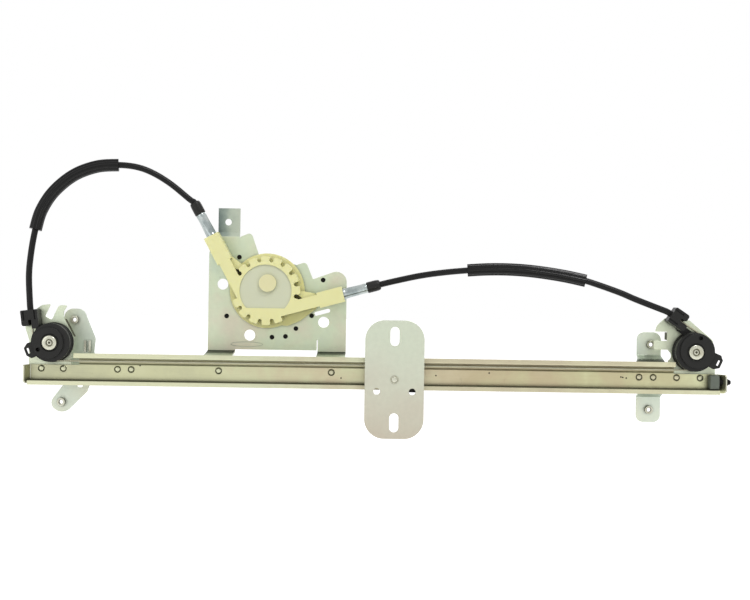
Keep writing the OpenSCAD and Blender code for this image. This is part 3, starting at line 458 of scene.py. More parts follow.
def mergedCopy(nodes, seams=()):
    # Faces that lie wholly in a seam plane, given as axis and place, go, so that the nodes there become one
    work = bmesh.new()
    for node in nodes:
        work.from_mesh(frame["nodes"][node].data)
    gap = dressing["seamGap"] * mm
    inside = [face for face in work.faces if any(
        all(abs(vert.co[axis] - place * mm) < gap for vert in face.verts) for axis, place in seams)]
    bmesh.ops.delete(work, geom=inside, context="FACES")
    bmesh.ops.remove_doubles(work, verts=work.verts, dist=dressing["joinGap"] * mm)
    bmesh.ops.dissolve_limit(work, angle_limit=math.radians(dressing["flatAngle"]),
                             verts=work.verts, edges=work.edges)
    bmesh.ops.dissolve_degenerate(work, dist=dressing["shortestEdge"] * mm, edges=work.edges)
    mesh = bpy.data.meshes.new(nodes[0] + "_dressed")
    work.to_mesh(mesh)
    work.free()
    return mesh


def dressed(nodes, finish, bevel, seams=()):
    piece = linkObject(nodes[0] + "_dressed", mergedCopy(nodes, seams))
    smoothShaded(piece.data, dressing["creaseAngle"])
    edge = piece.modifiers.new("edge", "BEVEL")
    edge.width = bevel * mm
    edge.segments = dressing["bevelSteps"]
    edge.limit_method = "ANGLE"
    edge.angle_limit = math.radians(dressing["bevelAngle"])
    edge.miter_outer = "MITER_ARC"
    weighted = piece.modifiers.new("flat faces", "WEIGHTED_NORMAL")
    weighted.keep_sharp = True
    weighted.weight = dressing["flatFaceWeight"]
    plainMesh(piece)
    piece.data.materials.clear()
    piece.data.materials.append(finishes[finish])
    return standsFor(piece, *nodes)


def paintFaces(piece, finish, chosen):  # another finish for faces whose middle, in mm, passes a test
    piece.data.materials.append(finishes[finish])
    number = len(piece.data.materials) - 1
    for face in piece.data.polygons:
        if chosen(face.center / mm, face.normal):
            face.material_index = number


railSheet = {                           # the rail's four nodes meet at its ends and at its lips
    "nodes": ["guide_rail", "rail_upper_lip", "rail_lower_lip", "rail_end_flanges"],
    "seams": ((0, -185.4), (0, 362.0), (1, -32.6)),
    "edgeBreak": 0.2,
}
rail = dressed(railSheet["nodes"], "zincYellowSteel", railSheet["edgeBreak"], railSheet["seams"])
edgeBreaks = {                          # millimetres
    "left_pulley_bracket": ("zincBracketSteel", 0.2),
    "right_pulley_bracket": ("zincBracketSteel", 0.2),
    "left_mount_bracket": ("zincBlueSteel", 0.2),
    "right_mount_bracket": ("zincGreenSteel", 0.2),
    "motor_plate": ("zincClearSteel", 0.2),
    "carrier_plate": ("zincPaleSteel", 0.35),
    "left_pulley_base": ("polyamideBlack", 0.4),
    "right_pulley_base": ("polyamideBlack", 0.4),
    "left_pulley_cover": ("polyamideBlack", 0.45),
    "right_pulley_cover": ("polyamideBlack", 0.45),
    "left_pulley_wheel": ("polyamideBlack", 0.2),
    "right_pulley_wheel": ("polyamideBlack", 0.2),
    "drum_housing": ("acetalCream", 0.4),
    "cable_drum": ("acetalDrum", 0.25),
    "plate_plugs": ("plugBlack", 0.3),
    "carrier_shoe": ("polyamideBlack", 0.35),
    "cable_nipples": ("nickelSteel", 0.2),
    "end_buffer": ("bufferRubber", 0.8),
}
dressedPieces = {node: dressed([node], finish, bevel) for node, (finish, bevel) in edgeBreaks.items()}
print("CAD nodes dressed:", len(railSheet["nodes"]) + len(dressedPieces))


# Faces painted darker or brighter than their sheet, mostly as painted shade and painted highlights, in
# millimetres

sheetPlaces = {
    "lipFront": -38.0,
    "stripFrom": -32.6,
    "stripTo": -31.9,
    "foldTop": -71.5,                   # lower side wall of the rail's channel
    "foldBottom": -75.0,
    "flangeLeft": -186.0,
    "flangeRight": 362.4,
    "bracketBack": -27.9,               # behind it only the pulley brackets' flanges
    "collarFront": -14.2,
    "collarRadius": 3.7,
    "collarWall": 2.9,
    "lugFront": -13.1,
    "ribs": (-147.6, -141.6, -52.1, -42.5),
    "tabLow": 44.0,
    "tabRight": -22.5,
    "plateBack": -1.4,
    "footHigh": -49.4,
    "bendHigh": -47.0,
    "bendLow": -83.0,
}
leans = {                               # how far a face's normal points along an axis
    "front": 0.5,
    "flange": 0.4,
    "foot": 0.3,
    "fold": 0.25,
    "collar": 0.6,
}
lugs = {
    "left_mount_bracket": ((-155.2, -25.9), (-165.2, -92.8)),
    "right_mount_bracket": ((313, -39.1), (312, -92.1)),
}


def toLug(middle):
    return min(apart(middle, x, z) for pair in lugs.values() for x, z in pair)


def onLip(middle, normal):
    return middle.y < sheetPlaces["lipFront"] and normal.y < -leans["front"]


def onStrip(middle, normal):
    return sheetPlaces["stripFrom"] < middle.y < sheetPlaces["stripTo"] and normal.y < -leans["front"]


def inFold(middle, normal):
    return sheetPlaces["foldBottom"] < middle.z < sheetPlaces["foldTop"] and normal.z > leans["fold"]


def onFlangeEdge(middle, normal):
    outside = middle.x < sheetPlaces["flangeLeft"] or middle.x > sheetPlaces["flangeRight"]
    return outside and normal.y < -leans["flange"]


def turnedBack(middle, normal):
    return middle.y > sheetPlaces["bracketBack"]


def onCollar(middle, normal):           # and on the two ribs of the left bracket
    left, right, low, high = sheetPlaces["ribs"]
    onRib = left < middle.x < right and low < middle.z < high
    return middle.y < sheetPlaces["collarFront"] and (onRib or toLug(middle) < sheetPlaces["collarRadius"])


def onCollarWall(middle, normal):
    inWall = sheetPlaces["collarWall"] < toLug(middle) < sheetPlaces["collarRadius"]
    return inWall and middle.y < sheetPlaces["lugFront"] and abs(normal.y) < leans["collar"]


def onTab(middle, normal):
    inTab = middle.z > sheetPlaces["tabLow"] and middle.x < sheetPlaces["tabRight"]
    return inTab and middle.y > sheetPlaces["plateBack"]


def onFoot(middle, normal):
    ahead = middle.z < sheetPlaces["footHigh"] and middle.y < sheetPlaces["plateBack"]
    return ahead and abs(normal.z) > leans["foot"]


def inBend(middle, normal):
    inside = sheetPlaces["bendLow"] < middle.z < sheetPlaces["bendHigh"]
    return inside and toLug(middle) >= sheetPlaces["collarRadius"] and abs(normal.z) > leans["fold"]


def onNub(middle, normal):
    return middle.x > sheetPlaces["flangeRight"]


housingFront = {
    "discDepth": -20.5,
    "discRadius": 21.4,
    "bossMiddle": (1.6, 6.1),
    "bossRadius": 7.2,
    "bossDepth": -22.2,
    "tolerance": 0.3,
}


def onDisc(middle, normal):
    level = abs(middle.y - housingFront["discDepth"]) < housingFront["tolerance"]
    return level and normal.y < -leans["front"] and apart(middle, 0, 0) < housingFront["discRadius"]


def onBoss(middle, normal):
    onFront = middle.y < housingFront["bossDepth"]
    return onFront and apart(middle, *housingFront["bossMiddle"]) < housingFront["bossRadius"]


# painted highlight: the lips in the paler copy of the rail's steel
paintFaces(rail, "zincPaintedHighlightSteel", onLip)
# painted shadow of the lip and cable on the step
paintFaces(rail, "zincStripShadowSteel", onStrip)
# painted shade in the lower fold of the rail's channel
paintFaces(rail, "zincPaintedShadeSteel", inFold)
# painted highlight: the end flanges' edges in bright nickel steel
paintFaces(rail, "nickelSteel", onFlangeEdge)
# painted shadow on the flanges bent back behind the pulley brackets
paintFaces(dressedPieces["left_pulley_bracket"], "zincPaintedShadeSteel", turnedBack)
paintFaces(dressedPieces["right_pulley_bracket"], "zincPaintedShadeSteel", turnedBack)
# painted shade on the bracket's bend down to the rail
paintFaces(dressedPieces["right_mount_bracket"], "zincStepShadeSteel", inBend)
for node in lugs:
    # painted highlight on the lug collars and ribs, in bright nickel steel
    paintFaces(dressedPieces[node], "nickelSteel", onCollar)
    # painted shade on the collars' outer walls
    paintFaces(dressedPieces[node], "zincPaintedShadeSteel", onCollarWall)
paintFaces(dressedPieces["motor_plate"], "zincShadedSteel", onTab)
# painted shade on the feet's bends
paintFaces(dressedPieces["motor_plate"], "zincBendShadeSteel", onFoot)
paintFaces(dressedPieces["end_buffer"], "plugBlack", onNub)
paintFaces(dressedPieces["drum_housing"], "acetalThinWall", onDisc)
paintFaces(dressedPieces["drum_housing"], "acetalBoss", onBoss)
print("second finishes painted")


# Geometry Nodes: one tree sweeps a round or lobed section along a line, one sets a unit at each point

def newTree(name, sockets):
    tree = bpy.data.node_groups.new(name, "GeometryNodeTree")
    tree.interface.new_socket("Geometry", in_out="INPUT", socket_type="NodeSocketGeometry")
    for label, kind in sockets:
        tree.interface.new_socket(label, in_out="INPUT", socket_type=kind)
    tree.interface.new_socket("Geometry", in_out="OUTPUT", socket_type="NodeSocketGeometry")
    return tree, addNode(tree, "NodeGroupInput").outputs


def closeTree(tree, geometry, finish):
    shaded = addNode(tree, "GeometryNodeSetShadeSmooth", inputs={"Geometry": geometry})
    real = addNode(tree, "GeometryNodeRealizeInstances", inputs={"Geometry": shaded.outputs[0]})
    painted = addNode(tree, "GeometryNodeSetMaterial", inputs={
        "Geometry": real.outputs[0], "Material": finish})
    addNode(tree, "NodeGroupOutput", inputs={"Geometry": painted.outputs[0]})


def growPiece(name, base, tree, values):      # runs a tree on a base mesh and keeps the plain mesh
    carrier = linkObject(name, base)
    modifier = carrier.modifiers.new("grow", "NODES")
    modifier.node_group = tree
    for socket in tree.interface.items_tree:
        if socket.in_out == "INPUT" and socket.name in values:
            modifier[socket.identifier] = values[socket.name]
    return plainMesh(carrier)


def sweepTree():
    tree, given = newTree("sweptSection", (
        ("Radius", "NodeSocketFloat"), ("Lobes", "NodeSocketFloat"), ("Lobe Depth", "NodeSocketFloat"),
        ("Pitch", "NodeSocketFloat"), ("Step", "NodeSocketFloat"), ("Sides", "NodeSocketInt"),
        ("Finish", "NodeSocketMaterial")))
    line = addNode(tree, "GeometryNodeMeshToCurve", inputs={"Mesh": given["Geometry"]})
    even = addNode(tree, "GeometryNodeResampleCurve", {"mode": "LENGTH"},
                   {"Curve": line.outputs[0], "Length": given["Step"]})
    spot = addNode(tree, "GeometryNodeSplineParameter").outputs["Length"]
    marked = addNode(tree, "GeometryNodeStoreNamedAttribute", {"data_type": "FLOAT", "domain": "POINT"},
                     {"Geometry": even.outputs[0], "Name": "along", "Value": spot})
    turns = addNode(tree, "ShaderNodeMath", {"operation": "DIVIDE"}, {0: spot, 1: given["Pitch"]})
    tilt = addNode(tree, "ShaderNodeMath", {"operation": "MULTIPLY"}, {0: turns.outputs[0], 1: math.tau})
    twisted = addNode(tree, "GeometryNodeSetCurveTilt", inputs={
        "Curve": marked.outputs[0], "Tilt": tilt.outputs[0]})
    ring = addNode(tree, "GeometryNodeCurvePrimitiveCircle", inputs={
        "Resolution": given["Sides"], "Radius": 1.0})
    around = addNode(tree, "GeometryNodeSplineParameter").outputs["Factor"]
    angle = addNode(tree, "ShaderNodeMath", {"operation": "MULTIPLY"}, {0: around, 1: math.tau})
    phase = addNode(tree, "ShaderNodeMath", {"operation": "MULTIPLY"},
                    {0: angle.outputs[0], 1: given["Lobes"]})
    half = addNode(tree, "ShaderNodeMath", {"operation": "MULTIPLY"}, {0: phase.outputs[0], 1: 0.5})
    wave = addNode(tree, "ShaderNodeMath", {"operation": "COSINE"}, {0: half.outputs[0]})
    crest = addNode(tree, "ShaderNodeMath", {"operation": "ABSOLUTE"}, {0: wave.outputs[0]})
    short = addNode(tree, "ShaderNodeMath", {"operation": "SUBTRACT"}, {0: 1.0, 1: crest.outputs[0]})
    cut = addNode(tree, "ShaderNodeMath", {"operation": "MULTIPLY"},
                  {0: short.outputs[0], 1: given["Lobe Depth"]})
    radius = addNode(tree, "ShaderNodeMath", {"operation": "SUBTRACT"},
                     {0: given["Radius"], 1: cut.outputs[0]})
    unit = addNode(tree, "GeometryNodeInputPosition").outputs[0]
    out = addNode(tree, "ShaderNodeVectorMath", {"operation": "SCALE"},
                  {0: unit, "Scale": radius.outputs[0]})
    section = addNode(tree, "GeometryNodeSetPosition", inputs={
        "Geometry": ring.outputs[0], "Position": out.outputs[0]})
    body = addNode(tree, "GeometryNodeCurveToMesh", inputs={
        "Curve": twisted.outputs[0], "Profile Curve": section.outputs[0], "Fill Caps": True})
    closeTree(tree, body.outputs[0], given["Finish"])
    return tree


def repeatTree():
    tree, given = newTree("unitAtEachPoint", (
        ("Unit", "NodeSocketObject"), ("Spin", "NodeSocketFloat"), ("Seed", "NodeSocketInt"),
        ("Finish", "NodeSocketMaterial")))
    unit = addNode(tree, "GeometryNodeObjectInfo", {"transform_space": "ORIGINAL"},
                   {"Object": given["Unit"]})
    chance = addNode(tree, "FunctionNodeRandomValue", {"data_type": "FLOAT"},
                     {"Seed": given["Seed"], 2: 0.0, 3: given["Spin"]})
    turn = addNode(tree, "ShaderNodeCombineXYZ", inputs={"Y": chance.outputs[1]})
    placed = addNode(tree, "GeometryNodeInstanceOnPoints", inputs={
        "Points": given["Geometry"], "Instance": unit.outputs["Geometry"], "Rotation": turn.outputs[0]})
    closeTree(tree, placed.outputs[0], given["Finish"])
    return tree


sectionTree = sweepTree()
unitTree = repeatTree()
coilForward = (Vector((0, -1, 0)), Vector((1, 0, 0)), Vector((0, 0, 1)))        # along, across and up
making = {
    "sweptCrease": 60,                  # degrees
    "turnedCrease": 40,
    "untwisted": 1e6,                   # a pitch so long that a section keeps its turn
}


def polyline(name, path):               # one open line of edges through points in millimetres
    mesh = bpy.data.meshes.new(name)
    mesh.from_pydata([point * mm for point in path], [(i, i + 1) for i in range(len(path) - 1)], [])
    return mesh


def swept(name, path, finish, radius, step, sides, lobes=0, lobeDepth=0.0, pitch=making["untwisted"]):
    piece = growPiece(name, polyline(name, path), sectionTree, {
        "Radius": radius * mm, "Lobes": float(lobes), "Lobe Depth": lobeDepth * mm, "Pitch": pitch * mm,
        "Step": step * mm, "Sides": sides, "Finish": finishes[finish]})
    smoothShaded(piece.data, making["sweptCrease"])
    return piece


def lathed(name, profile, steps, lobes=0, flats=0.0, flatFrom=0.0, flatTo=0.0, tilt=0.0):
    # Turns a closed profile of (radius, forward) in millimetres about an axis that points forward, to -Y
    work = bmesh.new()
    rings = []
    for radius, forward in profile:
        ring = []
        for k in range(1 if radius == 0 else steps):
            turn = math.tau * k / steps
            squeeze = 1
            if flatFrom <= forward <= flatTo:
                squeeze -= flats * (0.5 - 0.5 * math.cos(lobes * turn))
            lean = tilt * radius * math.cos(turn) if forward > 0 else 0
            ring.append(work.verts.new((radius * squeeze * math.cos(turn) * mm, -(forward + lean) * mm,
                                        radius * squeeze * math.sin(turn) * mm)))
        rings.append(ring)
    closed = profile[0][0] > 0 and profile[-1][0] > 0
    pairs = list(zip(rings, rings[1:])) + ([(rings[-1], rings[0])] if closed else [])
    for near, far in pairs:
        for k in range(steps):
            corner = (k + 1) % steps
            around = (near[k % len(near)], near[corner % len(near)],
                      far[corner % len(far)], far[k % len(far)])
            work.faces.new(list(dict.fromkeys(around)))
    bmesh.ops.recalc_face_normals(work, faces=work.faces)
    mesh = bpy.data.meshes.new(name)
    work.to_mesh(mesh)
    work.free()
    smoothShaded(mesh, making["turnedCrease"])
    return mesh


def setAt(name, unit, places, finish, spin=0.0, seed=1):
    # Copies a unit mesh to places in millimetres, each turned about its own axis by chance
    helper = linkObject(name + "Unit", unit)
    points = bpy.data.meshes.new(name)
    points.from_pydata([Vector(place) * mm for place in places], [], [])
    piece = growPiece(name, points, unitTree, {
        "Unit": helper, "Spin": spin, "Seed": seed, "Finish": finishes[finish]})
    bpy.data.objects.remove(helper)
    smoothShaded(piece.data, making["turnedCrease"])
    return piece


def turnedTo(mesh, place, angle):       # moves a lathed mesh so that its axis leaves a place at this angle
    forward = inPlane(1, angle)
    back = Vector((0, 1, 0))
    turn = Matrix((back.cross(forward), -forward, back)).transposed().to_4x4()
    mesh.transform(Matrix.Translation(Vector(place) * mm) @ turn)
    return mesh


def coilPath(middle, along, across, up, radius, length, turns, perTurn=24):
    count = round(turns * perTurn)
    return [middle + along * (length * k / count) + radius * (across * math.cos(math.tau * k / perTurn)
            + up * math.sin(math.tau * k / perTurn)) for k in range(count + 1)]


# Conduits and sleeves: between cap and pulley the route's points are those of the solid model

conduits = {
    "diameter": 5.0,
    "ferruleDepth": 7.5,                # where the conduit starts inside the ferrule, past the arm's end
    "capEnd": 31.0,                     # where it comes out of the cap
    "capRun": 6.0,                      # straight stretch inside the cap
    "lead": 3.0,                        # straight stretch before the holder
    "holderFrom": (12.4, 17.0),
    "holderLength": 15.2,
    "socketDepth": 7.8,
    "routes": (
        ((-63, -13.5, 73), (-78, -15, 85), (-92, -17, 93.5), (-105, -19, 98.2), (-120, -21, 99.6),
         (-137, -23, 98), (-155, -25, 90.7), (-170.5, -27, 77.2), (-180, -29, 61.5), (-184, -31, 46),
         (-186.5, -33, 28), (-187.6, -34.5, 9)),
        ((104, -13, 9.3), (125, -15, 14), (145, -17, 17), (163, -19, 18.8), (178, -20.5, 19.8),
         (194, -22, 20), (210, -24, 19.2), (226.5, -26, 17.3), (242, -28, 14.8), (257, -30, 11.6),
         (282, -33, 3.2), (297, -34.5, -3))),
    "routeSteps": 8,
    "step": 2.0,
    "sides": 20,
}
sleeves = {
    "spans": ((4, 9), (3, 9)),          # first and last point of the route that each covers
    "radius": 5.15,
    "flutes": 9,
    "fluteDepth": 0.75,
    "step": 1.5,
    "sides": 72,
}


def makeConduit(side, word):
    route = [Vector(point) for point in conduits["routes"][side]]
    capEnd = layout["armLength"] + conduits["capEnd"]
    holderEnd = conduits["holderFrom"][side] + conduits["holderLength"]
    start = [onArm(side, capEnd - conduits["capRun"]), onArm(side, capEnd)]
    path = smoothPath(start + route + [onEntry(side, holderEnd + conduits["lead"])], conduits["routeSteps"])
    path = ([onArm(side, layout["armLength"] + conduits["ferruleDepth"])] + path
            + [onEntry(side, holderEnd - conduits["socketDepth"])])
    piece = swept(word + "Conduit", path, "conduitJacket", conduits["diameter"] / 2, conduits["step"],
                  conduits["sides"])
    standsFor(piece, word + "_conduit")
    first, last = sleeves["spans"][side]
    covered = smoothPath(route[first:last + 1], conduits["routeSteps"])
    sleeve = swept(word + "Sleeve", covered, "sleeveRubber", sleeves["radius"], sleeves["step"],
                   sleeves["sides"], sleeves["flutes"], sleeves["fluteDepth"])
    standsFor(sleeve, word + "_sleeve")


for side, word in enumerate(("left", "right")):
    makeConduit(side, word)
print("conduits and sleeves swept")


# Ferrules crimped on the conduits, their black caps, and the springs that push them out of the arms

ferrule = {
    "inside": 5.0,
    "profile": ((1.1, 0), (4.5, 0), (4.6, 0.2), (4.6, 5.8), (4.45, 6.2), (4.3, 7.5), (4.15, 12), (4.0, 16),
                (3.95, 21), (4.05, 22.2), (4.1, 24.6), (3.9, 25), (2.55, 25), (2.55, 12.2), (1.1, 12.2)),
    "steps": 48,
    "crimpFrom": 9.0,
    "crimpTo": 21.0,
    "crimpFlats": 6,
    "crimpDepth": 0.05,                 # as a share of the radius
}
ferruleCap = {
    "place": 20,                        # past the arm's end
    "profile": ((2.55, 0), (4.2, 0), (4.45, 0.35), (4.5, 1.2), (4.5, 6.5), (4.4, 8.6), (4.2, 9.9),
                (3.7, 10.7), (3.0, 11), (2.55, 11)),
    "steps": 40,
}
tensionSpring = {
    "radius": 3.8,
    "wireRadius": 0.6,
    "start": 41.4,                      # along the arm
    "end": 54.1,
    "turns": 7,
    "step": 0.9,
    "sides": 10,
}


def makeFerrule(side, word):
    angle = layout["armAngles"][side]
    mesh = lathed(word + "Ferrule", ferrule["profile"], ferrule["steps"], ferrule["crimpFlats"],
                  ferrule["crimpDepth"], ferrule["crimpFrom"], ferrule["crimpTo"])
    turnedTo(mesh, onArm(side, layout["armLength"] - ferrule["inside"]), angle)
    piece = linkObject(word + "Ferrule", mesh)
    piece.data.materials.append(finishes["ferruleAluminium"])
    standsFor(piece, word + "_ferrule")
    mesh = lathed(word + "FerruleCap", ferruleCap["profile"], ferruleCap["steps"])
    turnedTo(mesh, onArm(side, layout["armLength"] + ferruleCap["place"]), angle)
    piece = linkObject(word + "FerruleCap", mesh)
    piece.data.materials.append(finishes["polyamideBlack"])
    standsFor(piece, word + "_ferrule_cap")


def makeSpring(side, word):
    along = inPlane(1, layout["armAngles"][side])
    back = Vector((0, 1, 0))
    length = tensionSpring["end"] - tensionSpring["start"]
    path = coilPath(onArm(side, tensionSpring["start"]), along, back, along.cross(back),
                    tensionSpring["radius"], length, tensionSpring["turns"])
    piece = swept(word + "Spring", path, "springSteel", tensionSpring["wireRadius"], tensionSpring["step"],
                  tensionSpring["sides"])
    standsFor(piece, word + "_tension_spring")


for side, word in enumerate(("left", "right")):
    makeFerrule(side, word)
    makeSpring(side, word)
print("ferrules, caps and springs turned")


# Steel cable: six strands laid round each other, along the rail, into the arms and on the drum

cable = {
    "strands": 6,
    "grooves": 0.16,
    "layLength": 9.0,                   # real pitch of the strands
    "step": 1.0,
    "sides": 24,
    "arcSteps": 24,
    "holderReach": (19.6, 24.2),        # where it ends inside the two conduit holders
    "tailFrom": 10.0,                   # along the arm
    "tailTo": 67.2,
    "drumTurns": 5,
    "drumPitch": 2.2,
    "drumGap": 0.05,                    # part of a turn left open
    "drumSteps": 72,
    "drumStep": 1.6,
}


def arcPath(side, fromAngle, toAngle):  # round a pulley
    axis = pulleyAxes[side]
    middle = Vector((axis.x, layout["cableDepth"], axis.z))
    turn = (toAngle - fromAngle) / cable["arcSteps"]
    angles = [fromAngle + turn * k for k in range(cable["arcSteps"] + 1)]
    return [middle + inPlane(layout["pulleyRadius"], angle) for angle in angles]


def cableAlong(name, path, step=cable["step"]):
    return swept(name, path, "cableSteel", layout["cableRadius"], step, cable["sides"], cable["strands"],
                 cable["grooves"], cable["layLength"])


def makeRailCable():                    # from holder to holder, under both pulleys and along the rail
    entry = layout["entryAngles"]
    path = ([onEntry(0, cable["holderReach"][0])] + arcPath(0, entry[0] + 90, 270)
            + arcPath(1, -90, entry[1] - 90) + [onEntry(1, cable["holderReach"][1])])
    standsFor(cableAlong("railCable", path), "rail_cable")


def makeTails():                        # both tails are one piece, because they are one node
    work = bmesh.new()
    for side in (0, 1):
        tail = cableAlong("tail", [onArm(side, cable["tailFrom"]), onArm(side, cable["tailTo"])])
        work.from_mesh(tail.data)
        mesh = tail.data
        bpy.data.objects.remove(tail)
    work.to_mesh(mesh)
    work.free()
    standsFor(linkObject("drumCableTails", mesh), "drum_cable_tails")


def makeWindings():                     # from back to front, centred on the arms' depth
    span = cable["drumPitch"] * (cable["drumTurns"] - 1)
    start = Vector((0, layout["armDepth"] + span / 2, 0))
    path = coilPath(start, *coilForward, layout["drumRadius"], span, cable["drumTurns"] - cable["drumGap"],
                    cable["drumSteps"])
    standsFor(cableAlong("drumWindings", path, cable["drumStep"]), "drum_windings")


makeRailCable()
makeTails()
makeWindings()
print("cable laid")


# Rivets, screws, pulley axles, the carrier's stud and the lugs' threads: units set at their holes

webFront = -30.7
rivet = {
    "places": (-177.6, -160, 330.6, 349.4, -116.6, -105.7, 300.6, 311.9, -35.8, 54.4),
    "height": -64.8,
    # Clinched end: a button that the punch left a little askew in a ring, and a flat head behind
    "profile": ((0, 0.58), (1.1, 0.6), (1.6, 0.52), (1.85, 0.28), (1.95, 0.06), (2.5, 0.03), (2.6, 0.2),
                (2.7, 0.28), (2.8, 0.2), (2.8, 0), (2.0, 0), (2.0, -2.7), (2.8, -2.7), (2.8, -3.1),
                (2.5, -3.4), (0, -3.4)),
    "steps": 32,
    "tilt": -0.045,
    "spin": 0.9,
    "seed": 4,
    "groove": (1.9, 2.6),
}


def inGroove(middle, normal):
    inner, outer = rivet["groove"]
    nearest = min(apart(middle, x, rivet["height"]) for x in rivet["places"])
    return middle.y < webFront and inner < nearest < outer


rivetUnit = lathed("rivet", rivet["profile"], rivet["steps"], tilt=rivet["tilt"])
rivetPlaces = [(x, webFront, rivet["height"]) for x in rivet["places"]]
# the rivet heads take the lips' paler tone, a painted highlight
rivets = setAt("railRivets", rivetUnit, rivetPlaces, "zincPaintedHighlightSteel", rivet["spin"], rivet["seed"])
standsFor(rivets, "rail_rivets")
# painted shade in the grooves round the rivet buttons
paintFaces(rivets, "zincPaintedShadeSteel", inGroove)

screw = {
    "angles": (68.75, 170, 293.75),
    "circle": 24.4,
    "profile": ((0, -0.9), (1.1, -0.9), (1.3, -1.8), (2.3, -1.75), (2.8, -1.4), (3.05, -0.8), (3.1, -0.2),
                (3.1, 0), (1.5, 0), (1.5, 7.0), (1.1, 7.4), (0, 7.5)),
    "steps": 32,
}
screwUnit = lathed("screw", screw["profile"], screw["steps"])
screwPlaces = [tuple(inPlane(screw["circle"], angle)) for angle in screw["angles"]]
standsFor(setAt("housingScrews", screwUnit, screwPlaces, "nickelSteel"), "housing_screws")

axle = {
    # Riveted head with a punched middle and a ring round it, the pin, and the head upset behind the bracket
    "profile": ((0, 1.25), (0.7, 1.25), (0.95, 1.75), (1.7, 1.8), (2.15, 1.55), (2.35, 1.45), (2.7, 2.1),
                (3.2, 2.6), (5.0, 2.68), (5.5, 2.5), (5.8, 2.0), (5.8, 0.3), (5.6, 0), (3.0, 0),
                (3.0, -15.9), (4.6, -15.9), (4.8, -16.2), (4.6, -16.8), (3.4, -17.1), (2.6, -16.6),
                (0, -16.5)),
    "steps": 48,
    "front": -43.9,
    "dimple": 0.9,
    "ring": (1.6, 2.9),
}


def makeAxle(side, word):
    middleX, middleZ = pulleyAxes[side].x, pulleyAxes[side].z

    def inDimple(middle, normal):
        return middle.y < axle["front"] and apart(middle, middleX, middleZ) < axle["dimple"]

    def inRing(middle, normal):
        inner, outer = axle["ring"]
        return middle.y < axle["front"] and inner < apart(middle, middleX, middleZ) < outer

    unit = lathed(word + "Axle", axle["profile"], axle["steps"])
    piece = setAt(word + "PulleyAxle", unit, [(middleX, axle["front"], middleZ)], "nickelSteel")
    standsFor(piece, word + "_pulley_axle")
    # painted shade in the punched middle of the axle head
    paintFaces(piece, "zincPaintedShadeSteel", inDimple)
    # the ring in darker steel, as painted shade of its groove
    paintFaces(piece, "springSteel", inRing)


for side, word in enumerate(("left", "right")):
    makeAxle(side, word)

stud = {
    "place": (104.6, -52.2, -68.5),
    "profile": ((0, 0.3), (1.4, 0.34), (1.9, 0.25), (2.1, 0.05), (2.35, 0.05), (2.6, 0.4), (2.85, 0.66),
                (3.1, 0.6), (3.3, 0.3), (3.3, 0), (3.2, 0), (3.2, -20.5), (0, -20.5)),
    "steps": 40,
    "tilt": 0.05,
}
studUnit = lathed("stud", stud["profile"], stud["steps"], tilt=stud["tilt"])
standsFor(setAt("carrierRivet", studUnit, [stud["place"]], "nickelSteel"), "carrier_rivet")

thread = {
    "radius": 1.95,
    "wire": 0.28,                       # half the width of one ridge
    "pitch": 0.8,
    "turns": 5,
    "start": -11.9,
    "step": 0.5,
    "sides": 8,
}
threadPath = coilPath(Vector(), *coilForward, thread["radius"], thread["pitch"] * thread["turns"],
                      thread["turns"])
ridge = swept("thread", threadPath, "nickelSteel", thread["wire"], thread["step"], thread["sides"])
threadUnit = ridge.data.copy()
bpy.data.objects.remove(ridge)
for node, pair in lugs.items():
    piece = setAt(node + "_threads", threadUnit, [(x, thread["start"], z) for x, z in pair], "nickelSteel")
    partOf(piece, node)
print("rivets, screws, axles and threads set")


# Marks of use and of the press: dirt specks on the rail's web and a shallow oval on the motor plate

specks = {
    "profile": ((0, 0.1), (0.4, 0.09), (0.6, 0.03), (0.68, -0.05), (0, -0.05)),
    "steps": 12,
    "places": ((180.7, -63.3), (286.1, -64.9), (287.6, -65.2), (290.4, -65.7), (138.1, -66), (62.2, -69.1),
               (-98.7, -61.5)),
}
speckUnit = lathed("speck", specks["profile"], specks["steps"])
speckPlaces = [(x, webFront, z) for x, z in specks["places"]]
partOf(setAt("railSpecks", speckUnit, speckPlaces, "plugBlack"), "guide_rail")

oval = {
    "middle": (-16.4, -1.5, -44.2),
    "halfWidth": 13.2,
    "halfHeight": 1.9,
    "lineRadius": 0.22,
    "points": 72,
    "step": 0.8,
    "sides": 8,
}


def onOval(turn):
    across = oval["halfWidth"] * math.cos(turn)
    up = oval["halfHeight"] * math.sin(turn)
    return Vector(oval["middle"]) + Vector((across, 0, up))


ovalPath = [onOval(math.tau * k / oval["points"]) for k in range(oval["points"] + 1)]
plateOval = swept("plateOval", ovalPath, "zincShadedSteel", oval["lineRadius"], oval["step"], oval["sides"])
partOf(plateOval, "motor_plate")
print("marks made")


# Floor, world and lamps

studio = {
    "floorDrop": 0.135,                 # below the part, so that its shadow is soft and low in the picture
    "floorSize": 30,
    "floorLift": 0.62,                  # its own glow, for rays that show the background
    "paper": (0.9, 0.9, 0.9, 1),
    "sideLevel": 0.35,                  # world level to the sides, against 1 in front and behind
    "sideEnd": 0.25,                    # how much a direction points along Y where that level ends
    "frontStart": 0.8,                  # and where the full one starts
    "worldStrength": 1.05,
    "target": (0.08, 0, 0),             # what all lamps point at
    "lamps": {                          # place, size and power
        "key": ((0.45, -0.75, 1.15), 0.4, 7),
        "fill": ((-0.9, -1.1, 0.3), 0.8, 2),
        "behind": ((0.3, 1.1, 0.9), 0.8, 4),
    },
}


def backgroundRays(tree):               # 1 for rays that show the background, in metal and glass too
    path = addNode(tree, "ShaderNodeLightPath").outputs
    straight = addNode(tree, "ShaderNodeMath", {"operation": "MAXIMUM"},
                       {0: path["Is Camera Ray"], 1: path["Is Glossy Ray"]})
    every = addNode(tree, "ShaderNodeMath", {"operation": "MAXIMUM"},
                    {0: straight.outputs[0], 1: path["Is Transmission Ray"]})
    return every.outputs[0]


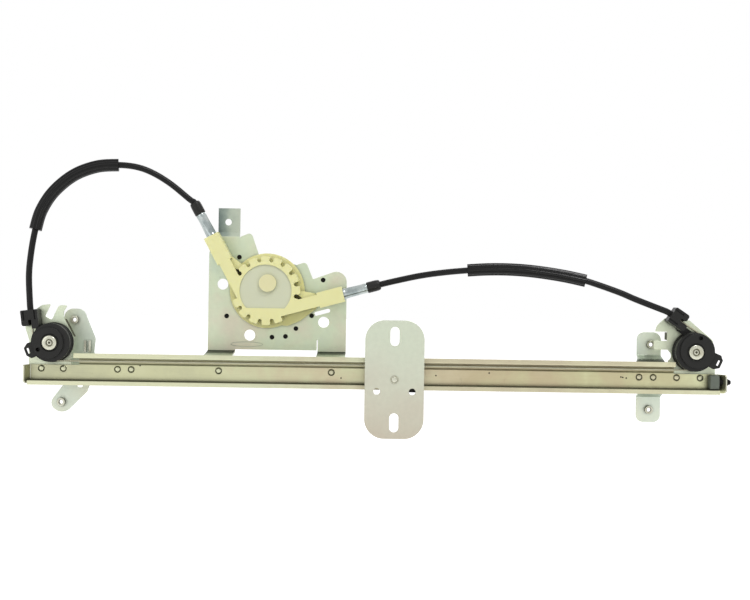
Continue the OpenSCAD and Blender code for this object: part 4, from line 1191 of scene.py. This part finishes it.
def makeFloor():
    size = studio["floorSize"] / 2
    z = cadLow.z - studio["floorDrop"]
    mesh = bpy.data.meshes.new("floor")
    square = [(-size, -size, z), (size, -size, z), (size, size, z), (-size, size, z)]
    mesh.from_pydata(square, [], [(0, 1, 2, 3)])
    floor = linkObject("floor", mesh)
    tree = newMaterial("whitePaper")
    paper = addNode(tree, "ShaderNodeBsdfDiffuse", inputs={"Color": studio["paper"]})
    glow = addNode(tree, "ShaderNodeMath", {"operation": "MULTIPLY"},
                   {0: backgroundRays(tree), 1: studio["floorLift"]})
    lift = addNode(tree, "ShaderNodeEmission", inputs={"Strength": glow.outputs[0]})
    both = addNode(tree, "ShaderNodeAddShader", inputs={0: paper.outputs[0], 1: lift.outputs[0]})
    closeMaterial(tree, both)
    mesh.materials.append(finishes["whitePaper"])


def makeWorld():
    world = bpy.data.worlds.new("softStudio")
    scene.world = world
    world.use_nodes = True
    tree = world.node_tree
    tree.nodes.clear()
    around = addNode(tree, "ShaderNodeTexCoord").outputs["Generated"]
    direction = addNode(tree, "ShaderNodeSeparateXYZ", inputs={0: around})
    facing = addNode(tree, "ShaderNodeMath", {"operation": "ABSOLUTE"}, {0: direction.outputs["Y"]})
    level = addNode(tree, "ShaderNodeMapRange", {"interpolation_type": "SMOOTHSTEP"}, {
        "Value": facing.outputs[0], "From Min": studio["sideEnd"], "From Max": studio["frontStart"],
        "To Min": studio["sideLevel"], "To Max": 1.0})
    light = addNode(tree, "ShaderNodeBackground", inputs={
        "Color": level.outputs[0], "Strength": studio["worldStrength"]})
    white = addNode(tree, "ShaderNodeBackground", inputs={"Color": (1, 1, 1, 1), "Strength": 1.0})
    mix = addNode(tree, "ShaderNodeMixShader", inputs={
        0: backgroundRays(tree), 1: light.outputs[0], 2: white.outputs[0]})
    addNode(tree, "ShaderNodeOutputWorld", inputs={"Surface": mix.outputs[0]})


def addLamp(name, place, size, power):
    data = bpy.data.lights.new(name, "AREA")
    data.shape = "DISK"
    data.size = size
    data.energy = power
    lamp = bpy.data.objects.new(name, data)
    scene.collection.objects.link(lamp)
    lamp.location = place
    lamp.rotation_euler = (Vector(studio["target"]) - Vector(place)).to_track_quat("-Z", "Y").to_euler()


makeFloor()
makeWorld()
for name, (place, size, power) in studio["lamps"].items():
    addLamp(name, place, size, power)
scene.view_settings.view_transform = "Standard"
print("studio lit")
